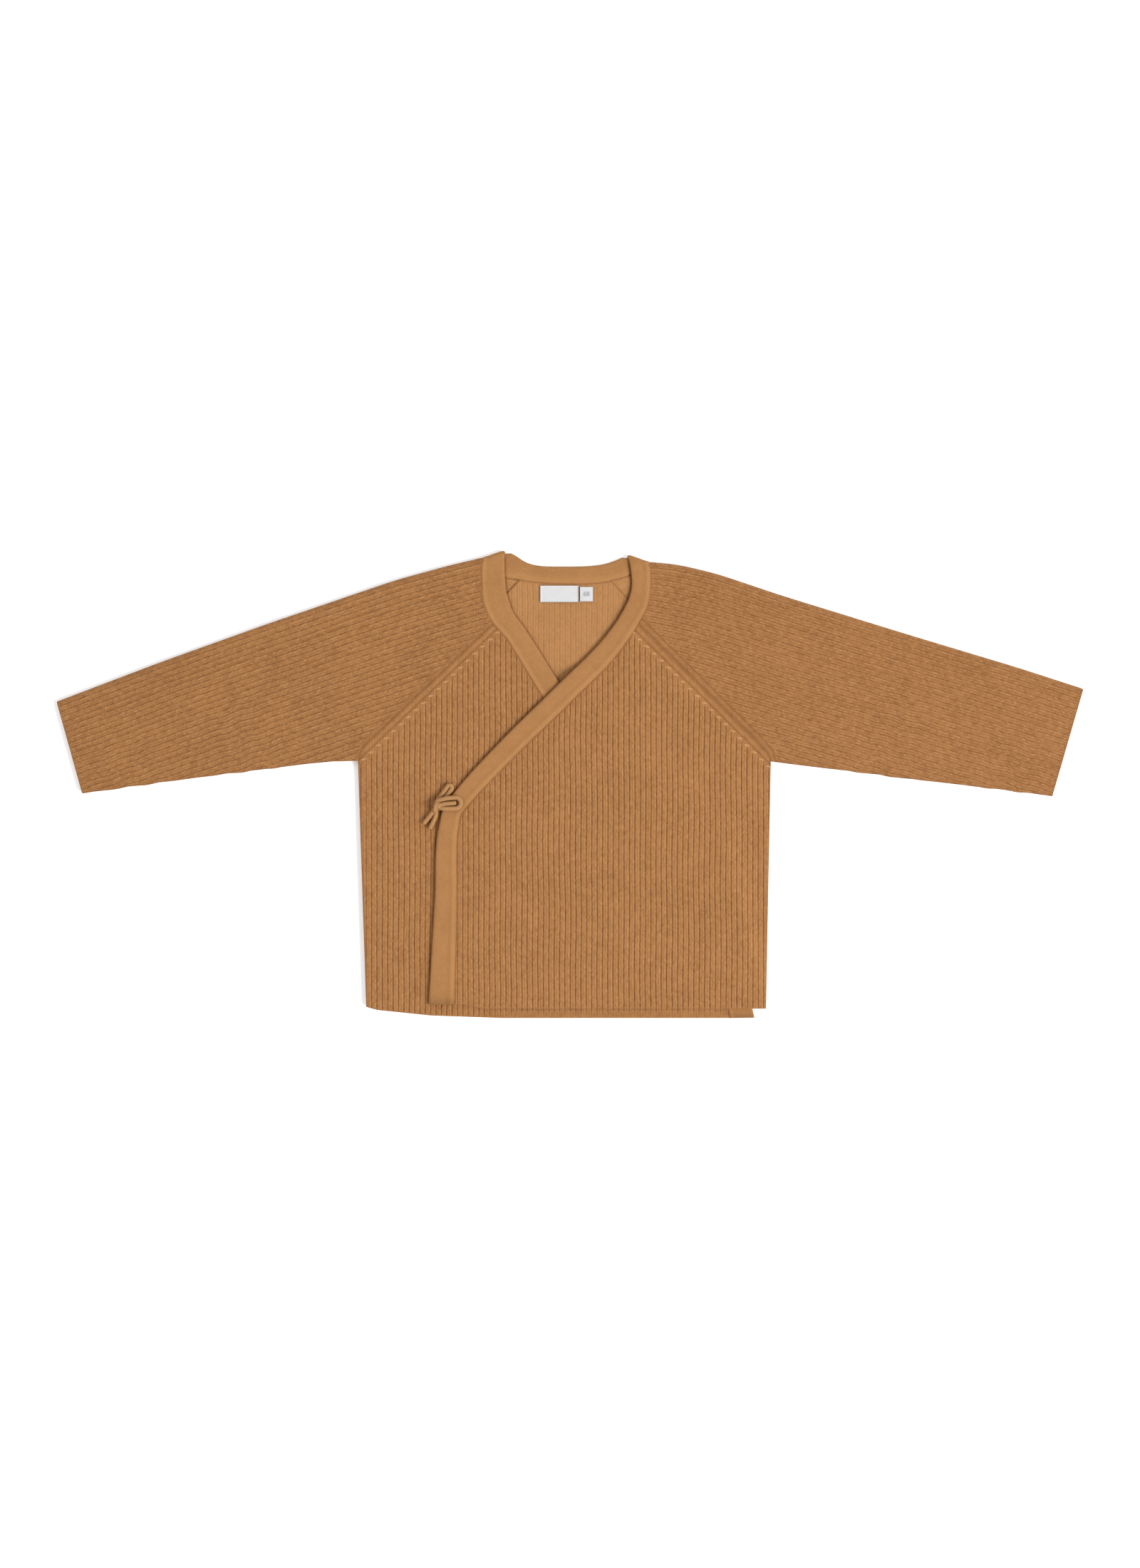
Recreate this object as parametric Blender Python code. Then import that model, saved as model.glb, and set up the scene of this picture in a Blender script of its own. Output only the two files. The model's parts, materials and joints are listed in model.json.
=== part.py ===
"""Baby's wrap cardigan in rib knit, tied with a small bow and laid out flat on its back.

The cloth is cut as flat outlines in millimetres and laid in three layers: the back and the
undersides of the sleeves, then the right front and the tops of the sleeves, then the left
front over the right one.  Ribs are raised on the faces that show, and the underside is plain.
Left and right are the viewer's, except in "right front" and "left front", the wearer's.
"""

import math
from collections import namedtuple

import bmesh
import bpy
from mathutils import Matrix, Vector
from mathutils.geometry import delaunay_2d_cdt

MM = 0.001

# Lines that rule a flat cut run this far past it, and points this near are one point
OVERSHOOT = 40.0
SAME_POINT = 1e-6
NEARLY_STRAIGHT = 0.05

# Cloth, in millimetres
RIB_PITCH = 3.5
RIB_SLOPE = 0.3
CREST = 2.2
VALLEY = 1.5
PLAIN = 1.9
BAND_THICK = 2.4
SEAM_GAP = 0.3
LAYER = (0.0, 2.7, 5.4)

# Folded edges: inner radius of a sleeve's top fold and of the band's folds at the neck
SLEEVE_FOLD_IN = 0.5 * (LAYER[1] - CREST)
BAND_FOLD_IN = 0.5 * (LAYER[1] - BAND_THICK)
FOLD_STEPS = 8

# Garment outline: armpits, side seams and hems
ARMPIT_RIGHT = (-138.3, 15.1)
ARMPIT_LEFT = (131.0, 14.7)
SIDE_HEM_RIGHT = (-132.9, -145.4)
SIDE_HEM_LEFT = (127.8, -146.4)
UNDER_HEM = ((-125.5, -147.4), (-90.5, -151.0), (-44.0, -152.6))
OVER_HEM = ((-69.6, -143.6), (-62.6, -145.0), (-55.6, -146.4))

# Raglan seams from the armpit up, as points between the armpit and the band
RAGLAN_RIGHT = ((-135.7, 24.4),)
RAGLAN_LEFT = ((129.6, 19.8), (121.7, 29.1))
RAGLAN_STRIP = 6.0
RAGLAN_RAMP = 1.0

BandRow = namedtuple("BandRow", "free_x free_y seam_x seam_y")

# Band of the right front, from its hem, which the left front hides, up to the neck fold
UNDER_BAND = (
    BandRow(120.3, -152.4, 104.0, -152.6),
    BandRow(107.3, -93.8, 93.7, -96.8),
    BandRow(93.3, -31.0, 81.0, -39.1),
    BandRow(74.7, -9.1, 65.1, -19.2),
    BandRow(-6.7, 65.9, -17.0, 55.4),
    BandRow(-23.0, 91.5, -34.7, 83.8),
    BandRow(-31.0, 103.6, -42.6, 95.9),
    BandRow(-37.0, 112.0, -50.6, 105.0),
    BandRow(-41.4, 125.0, -56.6, 117.5),
    BandRow(-42.6, 138.0, -57.9, 132.4),
    BandRow(-42.8, 152.6, -57.7, 147.6),
)
UNDER_RAGLAN_ROW = UNDER_BAND[7]

# Band across the back of the neck, between the two neck folds
NECK_BAND = (
    UNDER_BAND[-1],
    BandRow(-36.1, 149.4, -47.7, 136.2),
    BandRow(-27.7, 144.3, -33.3, 132.9),
    BandRow(-2.1, 141.9, -2.1, 130.4),
    BandRow(23.5, 143.8, 27.2, 132.4),
    BandRow(31.9, 146.8, 40.8, 136.6),
    BandRow(37.9, 149.8, 52.4, 144.7),
)
BACK_RAGLAN_ROWS = (NECK_BAND[2], NECK_BAND[4])

# Band of the left front, from the neck fold down to its hem
OVER_BAND = (
    NECK_BAND[-1],
    BandRow(39.6, 139.0, 52.8, 134.3),
    BandRow(40.3, 129.6, 52.4, 125.0),
    BandRow(38.4, 121.3, 50.5, 115.7),
    BandRow(33.3, 111.0, 44.9, 105.0),
    BandRow(22.1, 95.2, 32.0, 86.0),
    BandRow(-6.7, 65.9, 3.3, 56.2),
    BandRow(-45.9, 27.2, -36.4, 17.6),
    BandRow(-74.2, -4.0, -65.2, -12.6),
    BandRow(-82.4, -14.7, -71.0, -19.9),
    BandRow(-85.0, -25.0, -72.6, -27.4),
    BandRow(-88.2, -75.2, -73.8, -76.1),
    BandRow(-92.2, -143.6, -75.2, -143.6),
)
OVER_RAGLAN_ROW = OVER_BAND[4]
BAND_SUBSTEPS = 3

SinkRow = namedtuple("SinkRow", "beyond share")

# How the left front sinks past the hidden edge of the right front, one layer down in all
SINK = (
    SinkRow(2.5, 0.0),
    SinkRow(7.5, 0.16),
    SinkRow(12.5, 0.5),
    SinkRow(17.5, 0.84),
    SinkRow(22.5, 1.0),
)

SleeveCut = namedtuple("SleeveCut", "cuff_top cuff_low underarm rise")
RiseRow = namedtuple("RiseRow", "along lift")

# Each sleeve's corners at the cuff, its underarm edge from the armpit out, and how far its
# top fold arches above the straight line from neck to cuff
RIGHT_SLEEVE = SleeveCut(
    (-334.9, 53.8),
    (-318.2, -6.1),
    ((-160.0, 14.6), (-230.0, 5.8)),
    (
        RiseRow(0.0, 0.0),
        RiseRow(0.08, 2.2),
        RiseRow(0.2, 4.2),
        RiseRow(0.5, 4.0),
        RiseRow(0.75, 2.7),
        RiseRow(1.0, 0.0),
    ),
)
LEFT_SLEEVE = SleeveCut(
    (334.9, 62.1),
    (314.6, -7.9),
    ((223.0, 3.2),),
    (
        RiseRow(0.0, 0.0),
        RiseRow(0.06, 3.6),
        RiseRow(0.15, 5.0),
        RiseRow(0.3, 3.2),
        RiseRow(0.6, 1.9),
        RiseRow(0.85, 1.3),
        RiseRow(1.0, 0.0),
    ),
)

# Labels under the band at the back of the neck
LABEL_THICK = 1.0
LABEL_TOP = 129.4
LABEL_MAIN_X = (-19.3, 5.6)
LABEL_MAIN_DROP = 10.8
LABEL_SIZE_X = (6.6, 15.0)
LABEL_SIZE_DROP = 9.6

# Tie cords and their bow beside the corner of the left front
CORD = 2.9
KNOT = (-87.4, -15.1, 8.3)
KNOT_HALF = (4.2, 2.9, 3.1)
BOW_ANGLE = math.radians(57.0)
UPPER_LOOP_REACH = 15.5
SIDE_LOOP_REACH = 17.0
SIDE_LOOP_ANGLE = math.radians(14.0)
SIDE_LOOP_RISE = 0.35
LOOP_START = 4.4
UPPER_LOOP_HALF = 1.75
SIDE_LOOP_HALF = 2.7
LOOP_STEPS = 5
TailRow = namedtuple("TailRow", "x y")
LONG_TAIL = (
    TailRow(-89.9, -18.9),
    TailRow(-92.0, -21.7),
    TailRow(-94.2, -24.3),
    TailRow(-96.2, -26.6),
)
SHORT_TAIL = (
    TailRow(-86.6, -19.6),
    TailRow(-87.8, -23.4),
    TailRow(-89.8, -27.0),
    TailRow(-91.6, -30.4),
)
TAIL_STEPS = 3

# Colours as linear red, green and blue
CAMEL = (0.45, 0.21, 0.08)
CAMEL_BAND = (0.48, 0.23, 0.085)
CORD_CAMEL = (0.52, 0.26, 0.11)
WHITE = (0.77, 0.77, 0.77)


def clear_scene():
    """Remove whatever the file opens with."""
    for old in list(bpy.data.objects):
        bpy.data.objects.remove(old, do_unlink=True)


def cloth_material(name, colour, roughness=0.9):
    """Return a matt cloth material."""
    material = bpy.data.materials.new(name)
    material.use_nodes = True
    shader = material.node_tree.nodes["Principled BSDF"]
    shader.inputs["Base Color"].default_value = (*colour, 1.0)
    shader.inputs["Roughness"].default_value = roughness
    shader.inputs["Metallic"].default_value = 0.0
    return material


def link_mesh(name, bm, material, collection):
    """Turn a bmesh in millimetres into a named object in metres, faces pointing out."""
    bmesh.ops.recalc_face_normals(bm, faces=bm.faces[:])
    bmesh.ops.scale(bm, vec=(MM, MM, MM), verts=bm.verts[:])
    mesh = bpy.data.meshes.new(name)
    bm.to_mesh(mesh)
    bm.free()
    mesh.materials.append(material)
    piece = bpy.data.objects.new(name, mesh)
    collection.objects.link(piece)
    return piece


def row_slope(rows, i):
    """Return how a smooth curve through rows changes at one of them, per millimetre."""
    last = len(rows) - 1
    if i in (0, last):
        a, b = (rows[0], rows[1]) if i == 0 else (rows[last - 1], rows[last])
        gap = math.dist(a, b)
        return [(q - p) / gap for p, q in zip(a, b)]
    before, after = math.dist(rows[i - 1], rows[i]), math.dist(rows[i], rows[i + 1])
    return [
        ((q - p) * after / before + (r - q) * before / after) / (before + after)
        for p, q, r in zip(rows[i - 1], rows[i], rows[i + 1])
    ]


def smooth_rows(rows, substeps):
    """Return rows on a smooth curve through the given ones, column by column."""
    slopes = [row_slope(rows, i) for i in range(len(rows))]
    fine = []
    for i in range(len(rows) - 1):
        length = math.dist(rows[i], rows[i + 1])
        for k in range(substeps):
            t = k / substeps
            ease, leaving, arriving = t * t * (3 - 2 * t), t * (1 - t) ** 2, t * t * (t - 1)
            fine.append(tuple(
                a + (b - a) * ease + length * (m * leaving + n * arriving)
                for a, b, m, n in zip(rows[i], rows[i + 1], slopes[i], slopes[i + 1])
            ))
    fine.append(tuple(rows[-1]))
    return fine


def fold_axes(row):
    """Return a fold row's free and seam points, and the way down from the fold's edge."""
    free, seam = Vector(row[:2]), Vector(row[2:])
    along = (seam - free).normalized()
    down = Vector((-along.y, along.x))
    return free, seam, down if down.y < 0 else -down


def seam_line(rows, folded):
    """Return the seam edge of smoothed band rows, with the turn at each folded end."""
    points = [(row[2], row[3]) for row in rows]
    for end in folded:
        _, seam, down = fold_axes(rows[end])
        turned = seam + down * (BAND_FOLD_IN + BAND_THICK)
        points.insert(1 if end == 0 else len(points) - 1, (turned.x, turned.y))
    return points


def split_seam(points, row):
    """Split a seam edge at one of the band's own rows, which both halves keep."""
    spot = points.index((row.seam_x, row.seam_y))
    return points[:spot + 1], points[spot:]


def signed_area(points):
    """Return the area of an outline, negative when it runs clockwise."""
    pairs = zip(points, points[1:] + points[:1])
    return 0.5 * sum(a[0] * b[1] - b[0] * a[1] for a, b in pairs)


def meeting_point(a, along_a, b, along_b):
    """Return where the lines through a and b, along their own directions, cross."""
    away = b - a
    cross = along_a.x * along_b.y - along_a.y * along_b.x
    return a + along_a * ((away.x * along_b.y - away.y * along_b.x) / cross)


def shrink(stretches):
    """Close stretches of (points, gap) into one outline, each edge moved in by its gap."""
    points, gaps = [], []
    for stretch, gap in stretches:
        for point in stretch:
            if points and math.dist(points[-1], point) < SAME_POINT:
                gaps[-1] = gap
                continue
            points.append(tuple(point))
            gaps.append(gap)
    if math.dist(points[-1], points[0]) < SAME_POINT:
        points.pop()
        gaps.pop()
    inward = 1.0 if signed_area(points) > 0 else -1.0
    count = len(points)
    lines = []
    for i in range(count):
        a, b = Vector(points[i]), Vector(points[(i + 1) % count])
        along = (b - a).normalized()
        normal = Vector((-along.y, along.x)) * inward
        lines.append((a + normal * gaps[i], along, normal))
    outline = []
    for i in range(count):
        (a, along_a, normal_a), (b, along_b, _) = lines[i - 1], lines[i]
        cross = along_a.x * along_b.y - along_a.y * along_b.x
        if abs(cross) < NEARLY_STRAIGHT:
            gap = 0.5 * (gaps[i - 1] + gaps[i])
            corner = Vector(points[i]) + normal_a * gap
        else:
            corner = meeting_point(a, along_a, b, along_b)
        outline.append((corner.x, corner.y))
    return outline


def inside(point, outline):
    """Tell whether a point lies inside an outline."""
    x, y = point
    odd = False
    for (ax, ay), (bx, by) in zip(outline, outline[1:] + outline[:1]):
        if (ay > y) != (by > y) and x < ax + (y - ay) * (bx - ax) / (by - ay):
            odd = not odd
    return odd


def rib_height(across):
    """Return the cloth's thickness over the ribs at a distance across them."""
    t = (across / RIB_PITCH) % 1.0
    return VALLEY + (CREST - VALLEY) * min(min(t, 1.0 - t) / RIB_SLOPE, 1.0)


def rib_positions(low, high):
    """Return where the ribs' profile bends between two distances across them."""
    first, last = math.floor(low / RIB_PITCH), math.ceil(high / RIB_PITCH)
    spots = [(i + part) * RIB_PITCH for i in range(first, last) for part in (0, RIB_SLOPE, 1 - RIB_SLOPE)]
    return [spot for spot in spots if low < spot < high]


def sheet_solid(name, outline, lines, outer, inner, material, collection):
    """Build a wall of cloth from its flat cut, ruled by lines, between two mapped faces."""
    verts = [Vector(p) for p in outline]
    count = len(verts)
    edges = [(i, (i + 1) % count) for i in range(count)]
    for start, end in lines:
        verts += [Vector(start), Vector(end)]
        edges.append((len(verts) - 2, len(verts) - 1))
    flat, _, faces, _, _, _ = delaunay_2d_cdt(verts, edges, [], 0, 1e-4)
    kept = []
    for face in faces:
        centre = sum((flat[i] for i in face), Vector((0.0, 0.0))) / len(face)
        if inside(centre, outline):
            kept.append(tuple(face))

    bm = bmesh.new()
    used = sorted({i for face in kept for i in face})
    top = {i: bm.verts.new(outer(flat[i].x, flat[i].y)) for i in used}
    low = {i: bm.verts.new(inner(flat[i].x, flat[i].y)) for i in used}
    borders = {}
    for face in kept:
        bm.faces.new([top[i] for i in face])
        bm.faces.new([low[i] for i in reversed(face)])
        for a, b in zip(face, face[1:] + face[:1]):
            borders[(a, b)] = (b, a) not in borders
            if (b, a) in borders:
                borders[(b, a)] = False
    for (a, b), free in borders.items():
        if free:
            bm.faces.new((top[b], top[a], low[a], low[b]))
    return link_mesh(name, bm, material, collection)


def line_distance(point, start, end):
    """Return the distance of a point to the left of the line from start to end."""
    along = (Vector(end) - Vector(start)).normalized()
    away = Vector(point) - Vector(start)
    return along.x * away.y - along.y * away.x


def upright_lines(outline):
    """Return the ribs' lines on a body panel, from under its hem to over its top."""
    xs = [p[0] for p in outline]
    ys = [p[1] for p in outline]
    low, high = min(ys) - OVERSHOOT, max(ys) + OVERSHOOT
    return [((x, low), (x, high)) for x in rib_positions(min(xs), max(xs))]


def strip_lines(start, end, side):
    """Return the two edges of the plain strip along a raglan seam."""
    along = (Vector(end) - Vector(start)).normalized()
    normal = Vector((-along.y, along.x)) * side
    reach = along * OVERSHOOT
    return [
        (Vector(start) - reach + normal * gap, Vector(end) + reach + normal * gap)
        for gap in (RAGLAN_STRIP, RAGLAN_STRIP + RAGLAN_RAMP)
    ]


def panel_height(point, raglan, side):
    """Return a front panel's thickness: ribs, but plain in the strip along its raglan."""
    beside = side * line_distance(point, *raglan)
    share = min(max((beside - RAGLAN_STRIP) / RAGLAN_RAMP, 0.0), 1.0)
    return PLAIN + (rib_height(point[0]) - PLAIN) * share


def hidden_edge():
    """Return the two straight runs of the right front's edge under the left front."""
    cross, bend, hem = UNDER_BAND[4], UNDER_BAND[2], UNDER_BAND[0]
    corner = (bend.free_x, bend.free_y)
    return ((cross.free_x, cross.free_y), corner), (corner, (hem.free_x, hem.free_y))


def sink_share(beyond):
    """Return how much of a layer the left front has sunk at a distance past that edge."""
    if beyond <= SINK[0].beyond:
        return SINK[0].share
    for a, b in zip(SINK, SINK[1:]):
        if beyond <= b.beyond:
            return a.share + (b.share - a.share) * (beyond - a.beyond) / (b.beyond - a.beyond)
    return SINK[-1].share


def over_base(x, y):
    """Return the height of the left front's underside."""
    beyond = max(line_distance((x, y), *run) for run in hidden_edge())
    return LAYER[2] - (LAYER[2] - LAYER[1]) * sink_share(beyond)


def sink_lines():
    """Return the lines where the left front's slope changes past the hidden edge."""
    first, second = hidden_edge()
    lines = []
    for row in SINK:
        shifted = []
        for start, end in (first, second):
            along = (Vector(end) - Vector(start)).normalized()
            normal = Vector((-along.y, along.x))
            shifted.append((Vector(start) + normal * row.beyond, along))
        (a, along_a), (b, along_b) = shifted
        corner = meeting_point(a, along_a, b, along_b)
        reach = (Vector(first[1]) - Vector(first[0])).length + OVERSHOOT
        lines.append((corner - along_a * reach, corner))
        lines.append((corner, corner + along_b * reach))
    return lines


def build_back(neck, collection):
    """The back, ribbed on the face that shows inside the neck."""
    left_row, right_row = BACK_RAGLAN_ROWS
    _, rest = split_seam(neck, left_row)
    neck_edge, _ = split_seam(rest, right_row)
    outline = shrink([
        ((SIDE_HEM_RIGHT, SIDE_HEM_LEFT), 0.0),
        ((SIDE_HEM_LEFT, ARMPIT_LEFT), 0.0),
        ((ARMPIT_LEFT, *RAGLAN_LEFT, neck_edge[-1]), 0.5 * SEAM_GAP),
        (list(reversed(neck_edge)), SEAM_GAP),
        ((neck_edge[0], *reversed(RAGLAN_RIGHT), ARMPIT_RIGHT), 0.5 * SEAM_GAP),
        ((ARMPIT_RIGHT, SIDE_HEM_RIGHT), 0.0),
    ])
    return sheet_solid(
        "back", outline, upright_lines(outline),
        lambda x, y: (x, y, LAYER[0] + rib_height(x)),
        lambda x, y: (x, y, LAYER[0]),
        cloth_material("back_rib", CAMEL), collection,
    )


def build_right_front(seam, collection):
    """The right front, which runs on under the left one to its own band."""
    edge, _ = split_seam(seam, UNDER_RAGLAN_ROW)
    raglan = (edge[-1], RAGLAN_RIGHT[0])
    outline = shrink([
        ((SIDE_HEM_RIGHT, *UNDER_HEM, edge[0]), 0.0),
        (edge, SEAM_GAP),
        ((edge[-1], *reversed(RAGLAN_RIGHT), ARMPIT_RIGHT), 0.5 * SEAM_GAP),
        ((ARMPIT_RIGHT, SIDE_HEM_RIGHT), 0.0),
    ])
    return sheet_solid(
        "right_front", outline, upright_lines(outline) + strip_lines(*raglan, 1.0),
        lambda x, y: (x, y, LAYER[1] + panel_height((x, y), raglan, 1.0)),
        lambda x, y: (x, y, LAYER[1]),
        cloth_material("right_front_rib", CAMEL), collection,
    )


def build_left_front(seam, collection):
    """The left front, over the right one and sunk to the back beyond its hidden edge."""
    _, edge = split_seam(seam, OVER_RAGLAN_ROW)
    raglan = (edge[0], RAGLAN_LEFT[-1])
    outline = shrink([
        ((edge[-1], *OVER_HEM, SIDE_HEM_LEFT), 0.0),
        ((SIDE_HEM_LEFT, ARMPIT_LEFT), 0.0),
        ((ARMPIT_LEFT, *RAGLAN_LEFT, edge[0]), 0.5 * SEAM_GAP),
        (edge, SEAM_GAP),
    ])
    lines = upright_lines(outline) + strip_lines(*raglan, -1.0) + sink_lines()
    return sheet_solid(
        "left_front", outline, lines,
        lambda x, y: (x, y, over_base(x, y) + panel_height((x, y), raglan, -1.0)),
        lambda x, y: (x, y, over_base(x, y)),
        cloth_material("left_front_rib", CAMEL), collection,
    )


class SleeveFrame:
    """Flat cut of a folded sleeve: along its top fold, and around from under to over."""

    def __init__(self, neck, cut, armpit):
        self.cut = cut
        self.neck = Vector(neck)
        chord = Vector(cut.cuff_top) - self.neck
        self.length = chord.length
        self.along = chord.normalized()
        down = Vector((-self.along.y, self.along.x))
        self.down = down if down.y < 0 else -down
        self.depth = (Vector(armpit) - self.neck).dot(self.down)
        self.inner = SLEEVE_FOLD_IN
        self.outer = self.inner + CREST
        self.half_turn = 0.25 * math.pi * (self.inner + self.outer)

    def lift(self, v):
        """Return how far the fold arches out at a distance along it."""
        t = min(max(v / self.length, 0.0), 1.0)
        for a, b in zip(self.cut.rise, self.cut.rise[1:]):
            if t <= b.along:
                return a.lift + (b.lift - a.lift) * (t - a.along) / (b.along - a.along)
        return 0.0

    def to_sheet(self, point, side):
        """Return where a point of the laid garment lies on the flat cut."""
        away = Vector(point) - self.neck
        v, low = away.dot(self.along), away.dot(self.down)
        lift = self.lift(v)
        u = (low + lift) / (1.0 + lift / self.depth)
        return v, side * max(u - self.outer + self.half_turn, 0.0)

    def place(self, v, s, radius):
        """Return the point of the laid sleeve at a distance from the fold's own axis."""
        over = abs(s) - self.half_turn
        turn = max(min(s / self.half_turn, 1.0), -1.0) * 0.5 * math.pi
        u = self.outer - radius * math.cos(turn) + max(over, 0.0)
        shift = u - self.lift(v) * (1.0 - u / self.depth)
        spot = self.neck + self.along * v + self.down * shift
        return spot.x, spot.y, self.outer + radius * math.sin(turn)

    def thickness(self, s):
        """Return the cloth's thickness: ribs on the upper side, plain under it."""
        over = s - self.half_turn
        return rib_height(over + 0.5 * RIB_PITCH) if over > 0.0 else CREST

    def ruling(self, deepest):
        """Return the lines that the ribs, the fold and the arch need on the flat cut."""
        reach = self.length + OVERSHOOT
        deep = deepest + OVERSHOOT
        turns = [self.half_turn * (2.0 * k / FOLD_STEPS - 1.0) for k in range(FOLD_STEPS + 1)]
        first = self.half_turn - 0.5 * RIB_PITCH
        ribs = [first + spot for spot in rib_positions(0.5 * RIB_PITCH, deepest)]
        lines = [((-OVERSHOOT, s), (reach, s)) for s in turns + ribs]
        stops = [row.along * self.length for row in self.cut.rise]
        return lines + [((v, -deep), (v, deep)) for v in stops]


def build_sleeve(name, cut, armpit, raglan, front_neck, back_neck, collection):
    """A sleeve of one cut, folded along its top, open at cuff, neck and underarm seam."""
    frame = SleeveFrame(front_neck[0], cut, armpit)
    low_cuff = cut.cuff_low
    arm = [armpit, *cut.underarm, low_cuff]
    upper = [frame.to_sheet(p, 1.0) for p in arm]
    under = [frame.to_sheet(p, -1.0) for p in arm]
    front_edge = [(0.0, 0.0)] + [frame.to_sheet(p, 1.0) for p in front_neck[1:]]
    back_edge = [(0.0, 0.0)] + [frame.to_sheet(p, -1.0) for p in back_neck[1:]]
    front_raglan = [frame.to_sheet(p, 1.0) for p in reversed(raglan)]
    back_raglan = [frame.to_sheet(p, -1.0) for p in raglan]
    outline = shrink([
        (front_edge, SEAM_GAP),
        ([front_edge[-1], *front_raglan, upper[0]], 0.5 * SEAM_GAP),
        (upper, 0.0),
        ([upper[-1], (frame.length, 0.0), under[-1]], 0.0),
        (list(reversed(under)), 0.0),
        ([under[0], *back_raglan, back_edge[-1]], 0.5 * SEAM_GAP),
        (list(reversed(back_edge)), SEAM_GAP),
    ])
    deepest = max(s for _, s in outline)
    return sheet_solid(
        name, outline, frame.ruling(deepest),
        lambda v, s: frame.place(v, s, frame.inner + frame.thickness(s)),
        lambda v, s: frame.place(v, s, frame.inner),
        cloth_material(name + "_rib", CAMEL), collection,
    )


def flat_station(row, base, face_up):
    """Return the band's four corners where it lies flat: outer and inner, free and seam."""
    free, seam = row[:2], row[2:]
    free_base, seam_base = base(*free), base(*seam)
    high = [(*free, free_base + BAND_THICK), (*seam, seam_base + BAND_THICK)]
    low = [(*free, free_base), (*seam, seam_base)]
    return high + low if face_up else low + high


def fold_stations(row, going_down):
    """Return the stations that turn the band over the neck's edge."""
    free, seam, down = fold_axes(row)
    outer = BAND_FOLD_IN + BAND_THICK
    stations = []
    for k in range(FOLD_STEPS + 1):
        turn = math.pi * (0.5 - k / FOLD_STEPS)
        corners = []
        for radius in (outer, BAND_FOLD_IN):
            for edge in (free, seam):
                spot = edge + down * (outer - radius * math.cos(turn))
                corners.append((spot.x, spot.y, outer + radius * math.sin(turn)))
        stations.append(corners)
    return stations if going_down else stations[::-1]


def build_band(under, neck, over, collection):
    """One continuous band: up the right front, round the neck and down the left front."""
    stations = [flat_station(row, lambda x, y: LAYER[1], True) for row in under[:-1]]
    stations += fold_stations(under[-1], True)
    stations += [flat_station(row, lambda x, y: LAYER[0], False) for row in neck[1:-1]]
    stations += fold_stations(neck[-1], False)
    stations += [flat_station(row, over_base, True) for row in over[1:]]
    bm = bmesh.new()
    rings = []
    for outer_free, outer_seam, inner_free, inner_seam in stations:
        ring = (outer_free, outer_seam, inner_seam, inner_free)
        rings.append([bm.verts.new(corner) for corner in ring])
    for a, b in zip(rings, rings[1:]):
        for k in range(4):
            bm.faces.new((a[k], a[(k + 1) % 4], b[(k + 1) % 4], b[k]))
    bm.faces.new(rings[0][::-1])
    bm.faces.new(rings[-1])
    bmesh.ops.triangulate(bm, faces=bm.faces[:])
    return link_mesh("front_band", bm, cloth_material("band_knit", CAMEL_BAND), collection)


def build_label(name, span, drop, collection):
    """A woven label that hangs from the neck seam, lying on the back."""
    base = LAYER[0] + CREST + SEAM_GAP
    bm = bmesh.new()
    bmesh.ops.create_cube(bm, size=1.0)
    bmesh.ops.scale(bm, vec=(span[1] - span[0], drop, LABEL_THICK), verts=bm.verts[:])
    centre = (0.5 * (span[0] + span[1]), LABEL_TOP - 0.5 * drop, base + 0.5 * LABEL_THICK)
    bmesh.ops.translate(bm, vec=centre, verts=bm.verts[:])
    return link_mesh(name, bm, cloth_material(name + "_woven", WHITE, 0.6), collection)


def build_knot(collection):
    """The bow's knot, a small egg along the line from loop to tail."""
    bm = bmesh.new()
    bmesh.ops.create_uvsphere(bm, u_segments=16, v_segments=10, radius=1.0)
    bmesh.ops.scale(bm, vec=KNOT_HALF, verts=bm.verts[:])
    turned = Matrix.Rotation(BOW_ANGLE, 3, "Z")
    bmesh.ops.rotate(bm, cent=(0.0, 0.0, 0.0), matrix=turned, verts=bm.verts[:])
    bmesh.ops.translate(bm, vec=KNOT, verts=bm.verts[:])
    return link_mesh("tie_knot", bm, cloth_material("tie_knot_cord", CORD_CAMEL), collection)


def loop_route(angle, reach, half, height):
    """Return a bow loop's centre line: out, round its tip and back, beside itself."""
    out = Vector((math.cos(angle), math.sin(angle)))
    side = Vector((-out.y, out.x))
    near = 0.5 * (CORD + SEAM_GAP)
    run = reach - half - LOOP_START
    shares = [k / LOOP_STEPS for k in range(LOOP_STEPS)]
    straight = [(LOOP_START + run * t, near + (half - near) * t) for t in shares]
    turns = [math.pi * k / (2 * LOOP_STEPS) for k in range(2 * LOOP_STEPS + 1)]
    tip = [(reach + half * (math.sin(a) - 1.0), half * math.cos(a)) for a in turns]
    back = [(along, -wide) for along, wide in reversed(straight)]
    route = []
    for along, wide in straight + tip + back:
        spot = Vector(KNOT[:2]) + out * along + side * wide
        route.append((spot.x, spot.y, height))
    return route


def build_cord(name, route, collection):
    """A round cord along a route, with flat ends."""
    curve = bpy.data.curves.new(name, "CURVE")
    curve.dimensions = "3D"
    curve.bevel_depth = 0.5 * CORD * MM
    curve.bevel_resolution = 2
    curve.use_fill_caps = True
    spline = curve.splines.new("POLY")
    spline.points.add(len(route) - 1)
    for point, (x, y, z) in zip(spline.points, route):
        point.co = (x * MM, y * MM, z * MM, 1.0)
    curve.materials.append(cloth_material(name + "_cord", CORD_CAMEL))
    piece = bpy.data.objects.new(name, curve)
    collection.objects.link(piece)
    return piece


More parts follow.
